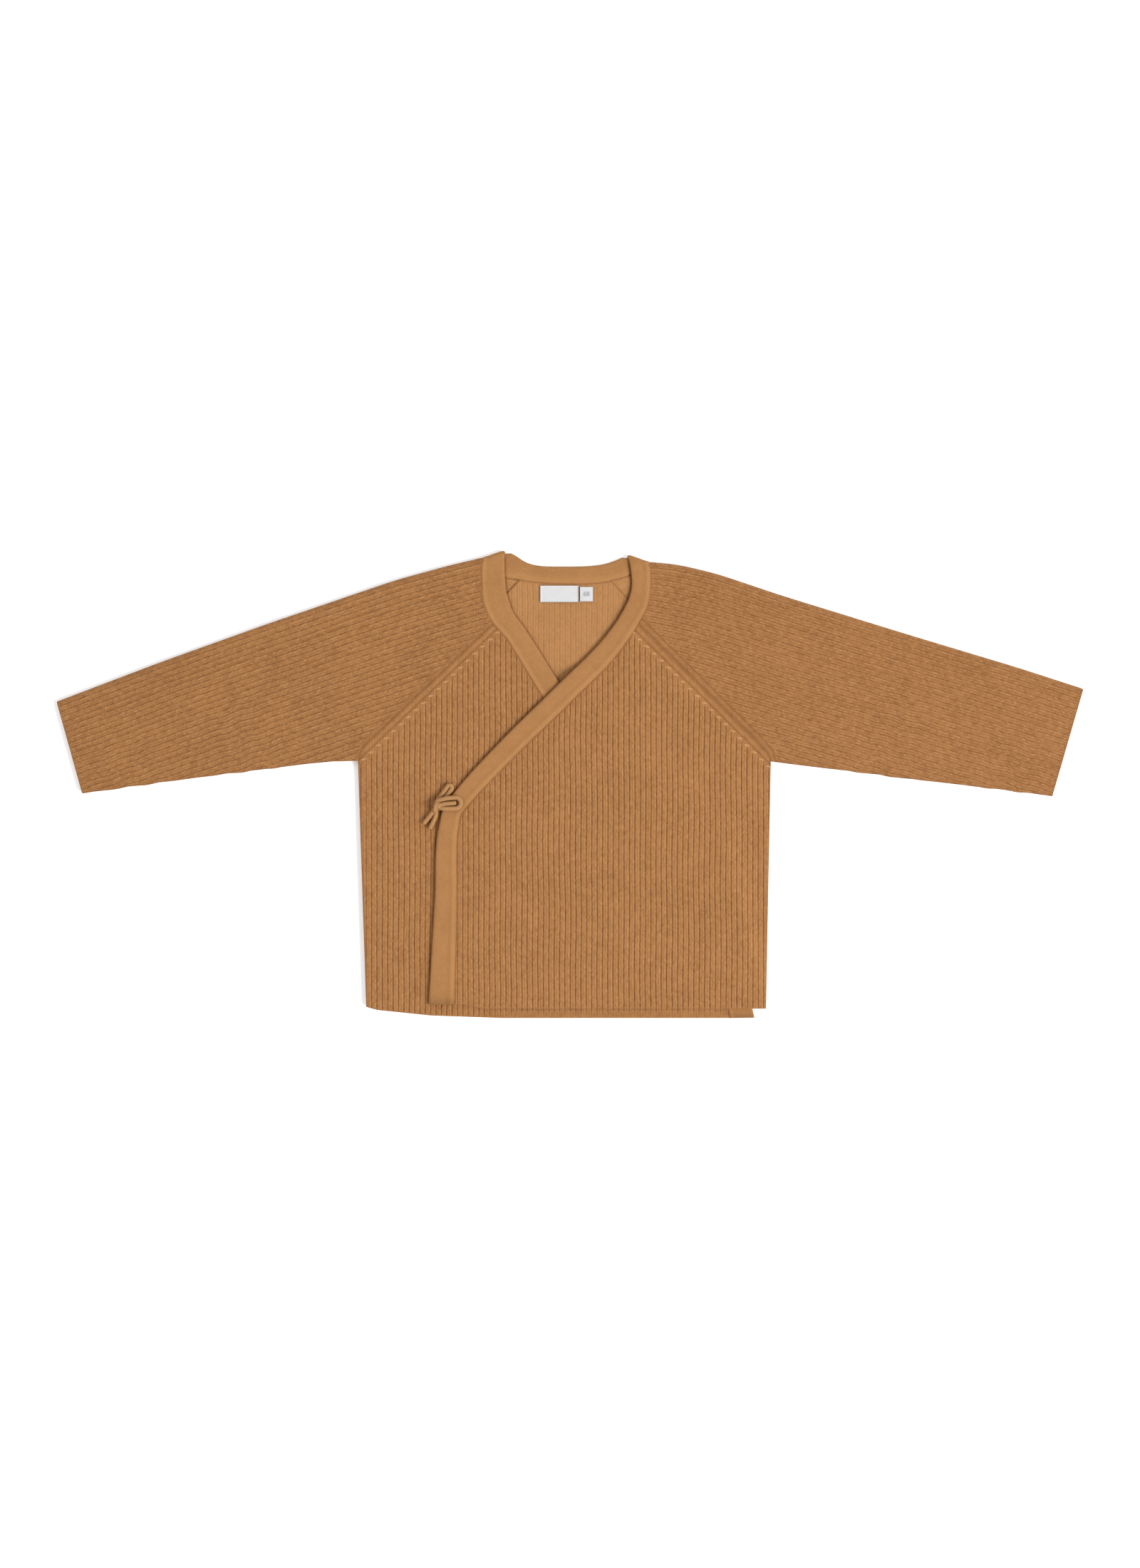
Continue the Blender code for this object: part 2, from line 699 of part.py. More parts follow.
def build_bow(collection):
    """The knot, two loops and two tails of the tie cords."""
    build_knot(collection)
    rest_low = LAYER[1] + CREST + SEAM_GAP + 0.5 * CORD
    rest_high = LAYER[2] + BAND_THICK + SEAM_GAP + 0.5 * CORD
    upper = loop_route(BOW_ANGLE, UPPER_LOOP_REACH, UPPER_LOOP_HALF, rest_low)
    side_height = rest_high + SIDE_LOOP_RISE
    side = loop_route(SIDE_LOOP_ANGLE, SIDE_LOOP_REACH, SIDE_LOOP_HALF, side_height)
    build_cord("tie_loop_upper", upper, collection)
    build_cord("tie_loop_side", side, collection)
    for name, rows in (("tie_tail_long", LONG_TAIL), ("tie_tail_short", SHORT_TAIL)):
        tail = [(x, y, rest_low) for x, y in smooth_rows(rows, TAIL_STEPS)]
        build_cord(name, tail, collection)


def build():
    """Model the whole cardigan."""
    clear_scene()
    collection = bpy.data.collections.new("wrap_cardigan")
    bpy.context.scene.collection.children.link(collection)
    under = smooth_rows(UNDER_BAND, BAND_SUBSTEPS)
    neck = smooth_rows(NECK_BAND, BAND_SUBSTEPS)
    over = smooth_rows(OVER_BAND, BAND_SUBSTEPS)
    under_seam = seam_line(under, (-1,))
    neck_seam = seam_line(neck, (0, -1))
    over_seam = seam_line(over, (0,))
    build_back(neck_seam, collection)
    build_right_front(under_seam, collection)
    build_left_front(over_seam, collection)
    build_sleeve(
        "right_sleeve", RIGHT_SLEEVE, ARMPIT_RIGHT, RAGLAN_RIGHT,
        split_seam(under_seam, UNDER_RAGLAN_ROW)[1][::-1],
        split_seam(neck_seam, BACK_RAGLAN_ROWS[0])[0], collection,
    )
    build_sleeve(
        "left_sleeve", LEFT_SLEEVE, ARMPIT_LEFT, RAGLAN_LEFT,
        split_seam(over_seam, OVER_RAGLAN_ROW)[0],
        split_seam(neck_seam, BACK_RAGLAN_ROWS[1])[1][::-1], collection,
    )
    build_band(under, neck, over, collection)
    build_label("label_main", LABEL_MAIN_X, LABEL_MAIN_DROP, collection)
    build_label("label_size", LABEL_SIZE_X, LABEL_SIZE_DROP, collection)
    build_bow(collection)


build()
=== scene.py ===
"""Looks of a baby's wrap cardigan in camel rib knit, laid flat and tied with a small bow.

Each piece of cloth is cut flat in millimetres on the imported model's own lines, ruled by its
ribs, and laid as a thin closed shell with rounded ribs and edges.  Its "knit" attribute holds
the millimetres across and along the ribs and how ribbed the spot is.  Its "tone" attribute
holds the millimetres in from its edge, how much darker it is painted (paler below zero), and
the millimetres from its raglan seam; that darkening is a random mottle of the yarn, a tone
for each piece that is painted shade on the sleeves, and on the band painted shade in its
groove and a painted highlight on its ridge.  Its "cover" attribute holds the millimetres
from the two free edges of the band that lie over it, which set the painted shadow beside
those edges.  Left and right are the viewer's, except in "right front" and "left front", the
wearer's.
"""

from __future__ import annotations

import json
import logging
import math
from dataclasses import dataclass, field
from enum import Enum
from typing import Callable, Mapping, NamedTuple, Sequence

import bpy
import numpy as np
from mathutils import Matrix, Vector

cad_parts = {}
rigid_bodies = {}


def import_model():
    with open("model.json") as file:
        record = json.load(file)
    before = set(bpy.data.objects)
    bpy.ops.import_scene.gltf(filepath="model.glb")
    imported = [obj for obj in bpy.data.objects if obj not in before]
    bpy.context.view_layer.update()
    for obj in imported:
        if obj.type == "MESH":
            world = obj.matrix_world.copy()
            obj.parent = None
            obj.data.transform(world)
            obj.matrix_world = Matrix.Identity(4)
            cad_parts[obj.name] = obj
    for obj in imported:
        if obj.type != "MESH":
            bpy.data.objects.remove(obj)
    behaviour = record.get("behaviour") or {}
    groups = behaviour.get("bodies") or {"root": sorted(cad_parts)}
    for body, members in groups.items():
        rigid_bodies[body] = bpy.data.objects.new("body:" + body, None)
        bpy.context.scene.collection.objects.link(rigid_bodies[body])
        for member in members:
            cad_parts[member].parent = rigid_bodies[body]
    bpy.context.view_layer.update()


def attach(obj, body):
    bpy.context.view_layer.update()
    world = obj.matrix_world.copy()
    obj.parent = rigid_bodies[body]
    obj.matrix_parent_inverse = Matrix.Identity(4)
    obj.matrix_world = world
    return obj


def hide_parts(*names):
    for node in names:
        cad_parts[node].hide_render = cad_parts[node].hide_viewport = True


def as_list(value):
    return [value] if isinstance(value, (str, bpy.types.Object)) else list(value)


log = logging.getLogger("wrap_cardigan")

MM = 0.001
ROOT = "root"

Point = tuple[float, float]
Points = list[Point]
Ramp = Sequence[tuple[float, float]]
Colour = tuple[float, float, float]
Inputs = Mapping["str | int", object]

# Cloth, in millimetres
RIB_PITCH = 3.5
CREST = 2.2
VALLEY = 1.55
PLAIN = 1.9
BAND_THICK = 2.4
CORD_GAP = 0.3
TUCK = -0.2
RAGLAN_TUCK = 0.5 * TUCK
STRIP_GROOVE = 4.7
FAR = 99.0
FOLD_SPARE = 0.4
RIBS_START = (0.2, 1.2)
WANDER_START = (1.5, 14.0)
MOTTLE = 0.06
LAYER = (0.0, 2.7, 5.4)
SLEEVE_FOLD_IN = 0.5 * (LAYER[1] - CREST)
BAND_FOLD_IN = 0.5 * (LAYER[1] - BAND_THICK)

# Garment outline
ARMPIT_RIGHT = (-138.3, 15.1)
ARMPIT_LEFT = (131.0, 14.7)
SIDE_HEM_RIGHT = (-132.9, -145.4)
SIDE_HEM_LEFT = (127.8, -146.4)
UNDER_HEM = ((-125.5, -147.4), (-90.5, -151.0), (-44.0, -152.6))
OVER_HEM = ((-69.6, -143.6), (-62.6, -145.0), (-55.6, -146.4))
RAGLAN_RIGHT = ((-135.7, 24.4),)
RAGLAN_LEFT = ((129.6, 19.8), (121.7, 29.1))


class BandRow(NamedTuple):
    """A row across the band, from its free edge to its seam."""

    free_x: float
    free_y: float
    seam_x: float
    seam_y: float


# Band of the right front, from its hidden hem up to the neck fold
UNDER_BAND = (
    BandRow(120.3, -152.4, 104.0, -152.6),
    BandRow(107.3, -93.8, 93.7, -96.8),
    BandRow(93.3, -31.0, 81.0, -39.1),
    BandRow(74.7, -9.1, 65.1, -19.2),
    BandRow(-6.7, 65.9, -17.0, 55.4),
    BandRow(-23.0, 91.5, -34.7, 83.8),
    BandRow(-31.0, 103.6, -42.6, 95.9),
    BandRow(-37.0, 112.0, -50.6, 105.0),
    BandRow(-41.4, 125.0, -56.6, 117.5),
    BandRow(-42.6, 138.0, -57.9, 132.4),
    BandRow(-42.8, 152.6, -57.7, 147.6),
)
UNDER_RAGLAN_ROW = UNDER_BAND[7]

# Band across the back of the neck
NECK_BAND = (
    UNDER_BAND[-1],
    BandRow(-36.1, 149.4, -47.7, 136.2),
    BandRow(-27.7, 144.3, -33.3, 132.9),
    BandRow(-2.1, 141.9, -2.1, 130.4),
    BandRow(23.5, 143.8, 27.2, 132.4),
    BandRow(31.9, 146.8, 40.8, 136.6),
    BandRow(37.9, 149.8, 52.4, 144.7),
)
BACK_RAGLAN_ROWS = (NECK_BAND[2], NECK_BAND[4])

# Band of the left front, from the neck fold down to its hem
OVER_BAND = (
    NECK_BAND[-1],
    BandRow(39.6, 139.0, 52.8, 134.3),
    BandRow(40.3, 129.6, 52.4, 125.0),
    BandRow(38.4, 121.3, 50.5, 115.7),
    BandRow(33.3, 111.0, 44.9, 105.0),
    BandRow(22.1, 95.2, 32.0, 86.0),
    BandRow(-6.7, 65.9, 3.3, 56.2),
    BandRow(-45.9, 27.2, -36.4, 17.6),
    BandRow(-74.2, -4.0, -65.2, -12.6),
    BandRow(-82.4, -14.7, -71.0, -19.9),
    BandRow(-85.0, -25.0, -72.6, -27.4),
    BandRow(-88.2, -75.2, -73.8, -76.1),
    BandRow(-92.2, -143.6, -75.2, -143.6),
)
OVER_RAGLAN_ROW = OVER_BAND[4]

# Waves of an uneven swell: direction in radians, wave number and share
SWELLS = ((0.4, 1.0, 0.4), (1.7, 0.73, 0.3), (2.9, 1.31, 0.2), (5.2, 1.9, 0.1))

# How the left front sinks past the hidden edge of the right front, by distance past it
SINK = ((2.5, 0.0), (7.5, 0.16), (12.5, 0.5), (17.5, 0.84), (22.5, 1.0))


class Slot(Enum):
    """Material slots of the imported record."""

    RIB_KNIT = "rib_knit"
    BAND_KNIT = "band_knit"
    TIE_CORD = "tie_cord"
    LABEL_TAPE = "label_tape"


class Face(Enum):
    """Which way the right side of a piece of the band looks."""

    UP = 1
    DOWN = -1


# Flat outlines


def row_slope(rows: Sequence[Sequence[float]], i: int) -> list[float]:
    """Return how a smooth curve through rows changes at one of them, per millimetre."""
    last = len(rows) - 1
    if i in (0, last):
        a, b = (rows[0], rows[1]) if i == 0 else (rows[last - 1], rows[last])
        gap = math.dist(a, b)
        return [(q - p) / gap for p, q in zip(a, b)]
    before, after = math.dist(rows[i - 1], rows[i]), math.dist(rows[i], rows[i + 1])
    return [
        ((q - p) * after / before + (r - q) * before / after) / (before + after)
        for p, q, r in zip(rows[i - 1], rows[i], rows[i + 1])
    ]


def smooth_rows(rows: Sequence[Sequence[float]], substeps: int) -> list[tuple[float, ...]]:
    """Return rows on a smooth curve through the given ones, column by column.

    Args:
        rows: The rows that the curve passes through.
        substeps: How many steps it takes from one row to the next.

    Returns:
        The rows of the curve, the given ones among them.
    """
    slopes = [row_slope(rows, i) for i in range(len(rows))]
    fine: list[tuple[float, ...]] = []
    for i in range(len(rows) - 1):
        length = math.dist(rows[i], rows[i + 1])
        for k in range(substeps):
            t = k / substeps
            ease, leaving, arriving = t * t * (3 - 2 * t), t * (1 - t) ** 2, t * t * (t - 1)
            fine.append(tuple(
                a + (b - a) * ease + length * (m * leaving + n * arriving)
                for a, b, m, n in zip(rows[i], rows[i + 1], slopes[i], slopes[i + 1])
            ))
    fine.append(tuple(rows[-1]))
    return fine


def past_fold(rows: list[tuple[float, ...]], end: int) -> list[tuple[float, ...]]:
    """Return band rows without those that lie inside the turn at a folded end.

    Args:
        rows: The band's smoothed rows.
        end: The end that turns over the neck, 0 or -1.

    Returns:
        The rows that stay.
    """
    free, seam, down = fold_axes(rows[end])
    reach = BAND_FOLD_IN + BAND_THICK + FOLD_SPARE

    def clear(row: tuple[float, ...]) -> bool:
        return min((Vector(row[:2]) - free).dot(down), (Vector(row[2:]) - seam).dot(down)) > reach

    return [row for row in rows if row == rows[end] or clear(row)]


def fold_axes(row: Sequence[float]) -> tuple[Vector, Vector, Vector]:
    """Return a fold row's free and seam points, and the way down from the fold's edge."""
    free, seam = Vector(row[:2]), Vector(row[2:])
    along = (seam - free).normalized()
    down = Vector((-along.y, along.x))
    return free, seam, down if down.y < 0 else -down


def seam_line(rows: Sequence[Sequence[float]], folded: Sequence[int]) -> Points:
    """Return the seam edge of smoothed band rows, with the turn at each folded end.

    Args:
        rows: The band's smoothed rows.
        folded: The ends that turn over the neck, 0 or -1.

    Returns:
        The points of the seam edge.
    """
    points = [(row[2], row[3]) for row in rows]
    for end in folded:
        _, seam, down = fold_axes(rows[end])
        turned = seam + down * (BAND_FOLD_IN + BAND_THICK)
        points.insert(1 if end == 0 else len(points) - 1, (turned.x, turned.y))
    return points


def split_seam(points: Points, row: BandRow) -> tuple[Points, Points]:
    """Split a seam edge at one of the band's own rows, which both halves keep."""
    spot = points.index((row.seam_x, row.seam_y))
    return points[:spot + 1], points[spot:]


def signed_area(points: Sequence[Sequence[float]]) -> float:
    """Return the area of an outline, negative when it runs clockwise."""
    pairs = zip(points, [*points[1:], points[0]])
    return 0.5 * sum(a[0] * b[1] - b[0] * a[1] for a, b in pairs)


def shrink(stretches: Sequence[tuple[Sequence[Point], float]]) -> Points:
    """Close stretches of edge into one outline, each edge moved in by its own gap.

    Args:
        stretches: The points of each stretch, and the gap that it keeps.

    Returns:
        The points of the outline.
    """
    same, nearly_straight = 1e-6, 0.05
    points: Points = []
    gaps: list[float] = []
    for stretch, gap in stretches:
        for point in stretch:
            if points and math.dist(points[-1], point) < same:
                gaps[-1] = gap
                continue
            points.append((point[0], point[1]))
            gaps.append(gap)
    if math.dist(points[-1], points[0]) < same:
        points.pop()
        gaps.pop()
    inward = 1.0 if signed_area(points) > 0 else -1.0
    lines = []
    for point, after, gap in zip(points, points[1:] + points[:1], gaps):
        along = (Vector(after) - Vector(point)).normalized()
        normal = Vector((-along.y, along.x)) * inward
        lines.append((Vector(point) + normal * gap, along, normal))
    outline: Points = []
    for i, point in enumerate(points):
        (a, along_a, normal_a), (b, along_b, _) = lines[i - 1], lines[i]
        cross, away = along_a.cross(along_b), b - a
        if abs(cross) < nearly_straight:
            corner = Vector(point) + normal_a * 0.5 * (gaps[i - 1] + gaps[i])
        else:
            corner = a + along_a * (away.cross(along_b) / cross)
        outline.append((corner.x, corner.y))
    return outline


def line_distance(spots: np.ndarray, start: Point, end: Point) -> np.ndarray:
    """Return how far spots are to the left of the line from start to end.

    Args:
        spots: Points, as rows of x and y.
        start: Where the line starts.
        end: Where it ends.

    Returns:
        One distance a spot, negative to the right of the line.
    """
    along = np.array(end) - np.array(start)
    along = along / np.linalg.norm(along)
    away = spots - np.array(start)
    return along[0] * away[:, 1] - along[1] * away[:, 0]


def nearest(spots: np.ndarray, line: np.ndarray) -> tuple[np.ndarray, np.ndarray]:
    """Return how far spots are from a line of points, and on which side of it.

    Args:
        spots: Points, as rows of two numbers.
        line: The line's points.

    Returns:
        One distance a spot, and 1 to the right of the line or -1 to its left.
    """
    best = np.full(len(spots), np.inf)
    side = np.ones(len(spots))
    for start, end in zip(line, line[1:]):
        run, away = end - start, spots - start
        gap = away - np.clip(away @ run / max(run @ run, 1e-12), 0.0, 1.0)[:, None] * run
        far = np.einsum("ij,ij->i", gap, gap)
        near = far < best
        best = np.where(near, far, best)
        side = np.where(near, np.sign(run[1] * away[:, 0] - run[0] * away[:, 1]), side)
    return np.sqrt(best), side


def side_distance(spots: np.ndarray, line: np.ndarray) -> np.ndarray:
    """Return how far spots are to the right of a line of points, negative to its left."""
    distance, side = nearest(spots, line)
    return side * distance


def smooth_step(value: np.ndarray, low: float, high: float) -> np.ndarray:
    """Return values eased from 0 at low to 1 at high."""
    t = np.clip((value - low) / (high - low), 0.0, 1.0)
    return t * t * (3.0 - 2.0 * t)


def waver(x: np.ndarray, y: np.ndarray, wave: float, seed: float) -> np.ndarray:
    """Return a smooth, uneven swell from -1 to 1 over the plane.

    Args:
        x: First coordinate, in millimetres.
        y: Second coordinate.
        wave: The usual distance from one crest to the next.
        seed: A number that sets this swell apart from others.

    Returns:
        One height a point.
    """
    k = 2.0 * math.pi / wave
    total = np.zeros_like(x)
    for turn, scale, part in SWELLS:
        angle = turn + 1.37 * seed
        lead = math.cos(angle) * x + math.sin(angle) * y
        total += part * np.sin(k * scale * lead + 2.1 * seed + turn * 3.0)
    return total


def hidden_edge() -> tuple[tuple[Point, Point], tuple[Point, Point]]:
    """Return the two straight runs of the right front's edge under the left front."""
    cross, bend, hem = UNDER_BAND[4], UNDER_BAND[2], UNDER_BAND[0]
    corner = (bend.free_x, bend.free_y)
    return ((cross.free_x, cross.free_y), corner), (corner, (hem.free_x, hem.free_y))


def over_base(spots: np.ndarray) -> np.ndarray:
    """Return the height of the left front's underside at each spot."""
    first, second = hidden_edge()
    beyond = np.maximum(line_distance(spots, *first), line_distance(spots, *second))
    rows = np.array(SINK)
    share = np.interp(beyond, rows[:, 0], rows[:, 1])
    return LAYER[2] - (LAYER[2] - LAYER[1]) * share * share * (3.0 - 2.0 * share)


def rib_profile(across: np.ndarray) -> np.ndarray:
    """Return a rib's height, 0 in the valley and 1 on its two rounded legs."""
    roundness, dip, dip_from = 0.42, 0.1, 0.94
    wave = np.abs(np.sin(math.pi * across / RIB_PITCH))
    return wave ** roundness - dip * np.clip((wave - dip_from) / (1.0 - dip_from), 0.0, 1.0)


def fill_line(points: Sequence[Point], step: float) -> Points:
    """Return a line with points no further apart than a step."""
    filled: Points = []
    for a, b in zip(points, points[1:]):
        count = max(math.ceil(math.dist(a, b) / step), 1)
        for k in range(count):
            filled.append((a[0] + (b[0] - a[0]) * k / count, a[1] + (b[1] - a[1]) * k / count))
    return filled + [points[-1]]


# Meshes


@dataclass(frozen=True)
class Spots:
    """Places on a flat cut: across and along the ribs, and in from the cut's edge."""

    across: np.ndarray
    along: np.ndarray
    inset: np.ndarray

    @property
    def flat(self) -> np.ndarray:
        """The places as rows of across and along."""
        return np.column_stack([self.across, self.along])


@dataclass(frozen=True)
class Ruling:
    """How finely a cut is ruled, by its ribs one way and by rows the other."""

    parts: tuple[float, ...] = (0.0, 0.05, 0.13, 0.27, 0.5, 0.73, 0.87, 0.95)
    plain_parts: tuple[float, ...] = (0.0, 0.5)
    edge_rows: tuple[float, ...] = (0.0, 0.12, 0.32, 0.62, 1.0, 1.6, 2.6, 3.6, 4.6, 5.6, 6.4, 7.4, 9.0)
    row_step: float = 2.6
    least_row: float = 0.4
    under_columns: int = 8
    under_rows: int = 6
    least: float = 0.12
    edge: float = 0.04

    def columns(self, corners: np.ndarray, plain_below: float | None = None) -> np.ndarray:
        """Return the places across the ribs that a cut is ruled at.

        Args:
            corners: The places of the cut's corners, which are kept.
            plain_below: Below this the cut is ruled coarsely.

        Returns:
            The places in order, from just inside the lowest to just inside the highest.
        """
        low, high = float(corners.min()), float(corners.max())
        found = []
        for rib in range(math.floor(low / RIB_PITCH), math.ceil(high / RIB_PITCH)):
            plain = plain_below is not None and (rib + 1) * RIB_PITCH < plain_below
            found += [(rib + part) * RIB_PITCH for part in (self.plain_parts if plain else self.parts)]
        kept: list[float] = [low + self.edge]
        for spot in sorted({float(c) for c in corners if low + self.edge < c < high - self.edge}):
            if spot - kept[-1] > self.least:
                kept.append(spot)
        fixed = np.array([*kept, high - self.edge])
        found = [spot for spot in found if np.abs(fixed - spot).min() > self.least and low < spot < high]
        return np.sort(np.concatenate([fixed, found]))

    def rows(self, low: np.ndarray, high: np.ndarray) -> np.ndarray:
        """Return the places along each column, closer together at its two ends.

        Args:
            low: Where each column starts.
            high: Where it ends.

        Returns:
            An array of one row of places a column.
        """
        reach = self.edge_rows[-1]
        longest = float((high - low).max())
        middle = max(int((longest - 2 * reach) / self.row_step), 2)
        scale = np.minimum(1.0, (high - low) / (2 * reach + middle * self.least_row))
        ends = np.array(self.edge_rows)[None, :] * scale[:, None]
        start, stop = low + reach * scale, high - reach * scale
        shares = (np.arange(1, middle) / middle)[None, :]
        between = start[:, None] + (stop - start)[:, None] * shares
        return np.hstack([low[:, None] + ends, between, (high[:, None] - ends)[:, ::-1]])


def column_spans(outline: np.ndarray, at: np.ndarray) -> tuple[np.ndarray, np.ndarray]:
    """Return where each column enters and leaves an outline.

    Args:
        outline: The cut's points, across and along the ribs.
        at: The columns' places across the ribs.

    Returns:
        The lowest and the highest place of each column.
    """
    low, high = np.full(len(at), np.inf), np.full(len(at), -np.inf)
    for (a, b), (c, d) in zip(outline, np.roll(outline, -1, axis=0)):
        if a == c:
            continue
        share = (at - a) / (c - a)
        hit = (share >= 0.0) & (share <= 1.0)
        place = b + (d - b) * share
        low[hit] = np.minimum(low, place)[hit]
        high[hit] = np.maximum(high, place)[hit]
    return low, high


def grid_faces(index: np.ndarray, flip: bool) -> list[tuple[int, ...]]:
    """Return the quads of a grid of vertex numbers, turned over if flip is true."""
    corners = [index[:-1, :-1], index[1:, :-1], index[1:, 1:], index[:-1, 1:]]
    quads = np.stack([c.ravel() for c in corners], axis=1)
    return [tuple(q) for q in (quads[:, ::-1] if flip else quads).tolist()]


def rim_faces(top: np.ndarray, low: np.ndarray, kept: Sequence[int]) -> list[tuple[int, ...]]:
    """Return the faces that join a fine edge to a coarse one under it.

    Args:
        top: Vertex numbers of the fine edge.
        low: Vertex numbers of the coarse edge.
        kept: Which places of the fine edge the coarse one has.

    Returns:
        One face a stretch of the coarse edge.
    """
    faces = []
    for k in range(len(kept) - 1):
        upper = [int(v) for v in top[kept[k]:kept[k + 1] + 1]]
        faces.append((int(low[k]), int(low[k + 1]), *reversed(upper)))
    return faces


def new_object(
    name: str,
    points: np.ndarray,
    faces: Sequence[Sequence[int]],
    knit: np.ndarray | None = None,
    tone: np.ndarray | None = None,
    cover: np.ndarray | None = None,
) -> bpy.types.Object:
    """Make a smooth mesh object from millimetres, with the attributes that its finish reads.

    Args:
        name: The object's name.
        points: Its vertices, in millimetres.
        faces: Its faces.
        knit: Across, along and ribbed share, one row a vertex.
        tone: Inset from the edge, darkness and distance from the raglan, one row a vertex.
        cover: Distances from the band's free edges, one row a vertex; none where it is bare.

    Returns:
        The new object, in the scene.
    """
    mesh = bpy.data.meshes.new(name)
    mesh.from_pydata((points * MM).tolist(), [], faces)
    if knit is not None and cover is None:
        cover = np.full((len(points), 3), FAR)
    for label, values in (("knit", knit), ("tone", tone), ("cover", cover)):
        if values is not None:
            layer = mesh.attributes.new(label, "FLOAT_VECTOR", "POINT")
            layer.data.foreach_set("vector", np.ascontiguousarray(values, np.float32).ravel())
    mesh.polygons.foreach_set("use_smooth", [True] * len(mesh.polygons))
    mesh.update()
    piece = bpy.data.objects.new(name, mesh)
    bpy.context.scene.collection.objects.link(piece)
    return piece


Cover = Callable[[np.ndarray], np.ndarray]


@dataclass
class RibbedCut:
    """A piece of rib knit, cut flat and laid as a thin closed shell.

    Its thickness and the way it lies come from the classes of panels and sleeves.
    """

    name: str
    outline: Points
    seed: float
    shade: float = 0.0
    under_shade: float | None = None
    cover: Cover | None = None
    edge_round: float = 0.9
    edge_depth: float = 0.78
    plain_below: float | None = None
    ruling: Ruling = field(default_factory=Ruling)

    def thickness(self, spots: Spots) -> tuple[np.ndarray, np.ndarray]:
        """Return how thick the cloth is at each spot, and how ribbed."""
        raise NotImplementedError

    def lay(self, spots: Spots, deep: np.ndarray, outer: bool) -> np.ndarray:
        """Return where the spots of the outer or the inner face lie in the garment."""
        raise NotImplementedError

    def beside(self, spots: Spots) -> np.ndarray:
        """Return how far each spot is from the raglan seam, or FAR where no strip runs."""
        return np.full(len(spots.across), FAR)

    def rise(self, spots: Spots, wave: float) -> np.ndarray:
        """Return how far the cloth swells up at each spot, as shares, in waves of that length."""
        return 0.5 + 0.5 * waver(spots.across, spots.along, wave, self.seed + 5.0)

    @property
    def flat(self) -> Point:
        """The width and length of the cut, in metres."""
        size = np.ptp(np.array(self.outline), axis=0) * MM
        return float(size[0]), float(size[1])

    @property
    def area(self) -> float:
        """The area of the cut, in square metres."""
        return abs(signed_area(self.outline)) * MM * MM

    def build(self) -> bpy.types.Object:
        """Build the shell, finely ruled outside and coarsely inside."""
        edge = np.array(self.outline)
        across = self.ruling.columns(edge[:, 0], self.plain_below)
        along = self.ruling.rows(*column_spans(edge, across))
        count, rows = along.shape
        flat = np.stack([np.repeat(across, rows), along.ravel()], axis=1)
        inset, _ = nearest(flat, np.vstack([edge, edge[:1]]))
        spots = Spots(flat[:, 0], flat[:, 1], inset)
        deep, ribbed = self.thickness(spots)
        rounding = 1.0 - np.clip(inset / self.edge_round, 0.0, 1.0)
        deep = deep * (self.edge_depth + (1.0 - self.edge_depth) * np.sqrt(1.0 - rounding ** 2))
        top = self.lay(spots, deep, True)

        columns = sorted({*range(0, count, self.ruling.under_columns), count - 1})
        lines = sorted({*range(0, rows, self.ruling.under_rows), rows - 1})
        pick = (np.array(columns)[:, None] * rows + np.array(lines)[None, :]).ravel()
        under = Spots(spots.across[pick], spots.along[pick], inset[pick])
        bottom = self.lay(under, np.zeros(len(pick)), False)

        index = np.arange(count * rows).reshape(count, rows)
        below = (count * rows + np.arange(len(pick))).reshape(len(columns), len(lines))
        faces = grid_faces(index, False) + grid_faces(below, True)
        faces += rim_faces(index[:, -1], below[:, -1], columns)
        faces += [face[::-1] for face in rim_faces(index[:, 0], below[:, 0], columns)]
        faces += rim_faces(index[0, :], below[0, :], lines)
        faces += [face[::-1] for face in rim_faces(index[-1, :], below[-1, :], lines)]

        everywhere = np.vstack([top, bottom])
        both = np.stack([spots.across, spots.along, ribbed, inset, self.beside(spots)], axis=1)
        across, along, ribbed, inset, beside = np.vstack([both, both[pick]]).T
        # A tone for each piece, painted shade on the sleeves and paler on the back and on the sleeves' halves
        # beneath, over a random mottle of the yarn.
        darker = self.shade + MOTTLE * (1.0 + waver(everywhere[:, 0], everywhere[:, 1], 60.0, self.seed))
        if self.under_shade is not None:
            darker = darker + (self.under_shade - self.shade) * smooth_step(-across, 4.0, 7.0)
        return new_object(
            self.name, everywhere, faces, np.stack([across, along, ribbed], axis=1),
            np.stack([inset, darker, beside], axis=1), self.cover(everywhere) if self.cover else None,
        )


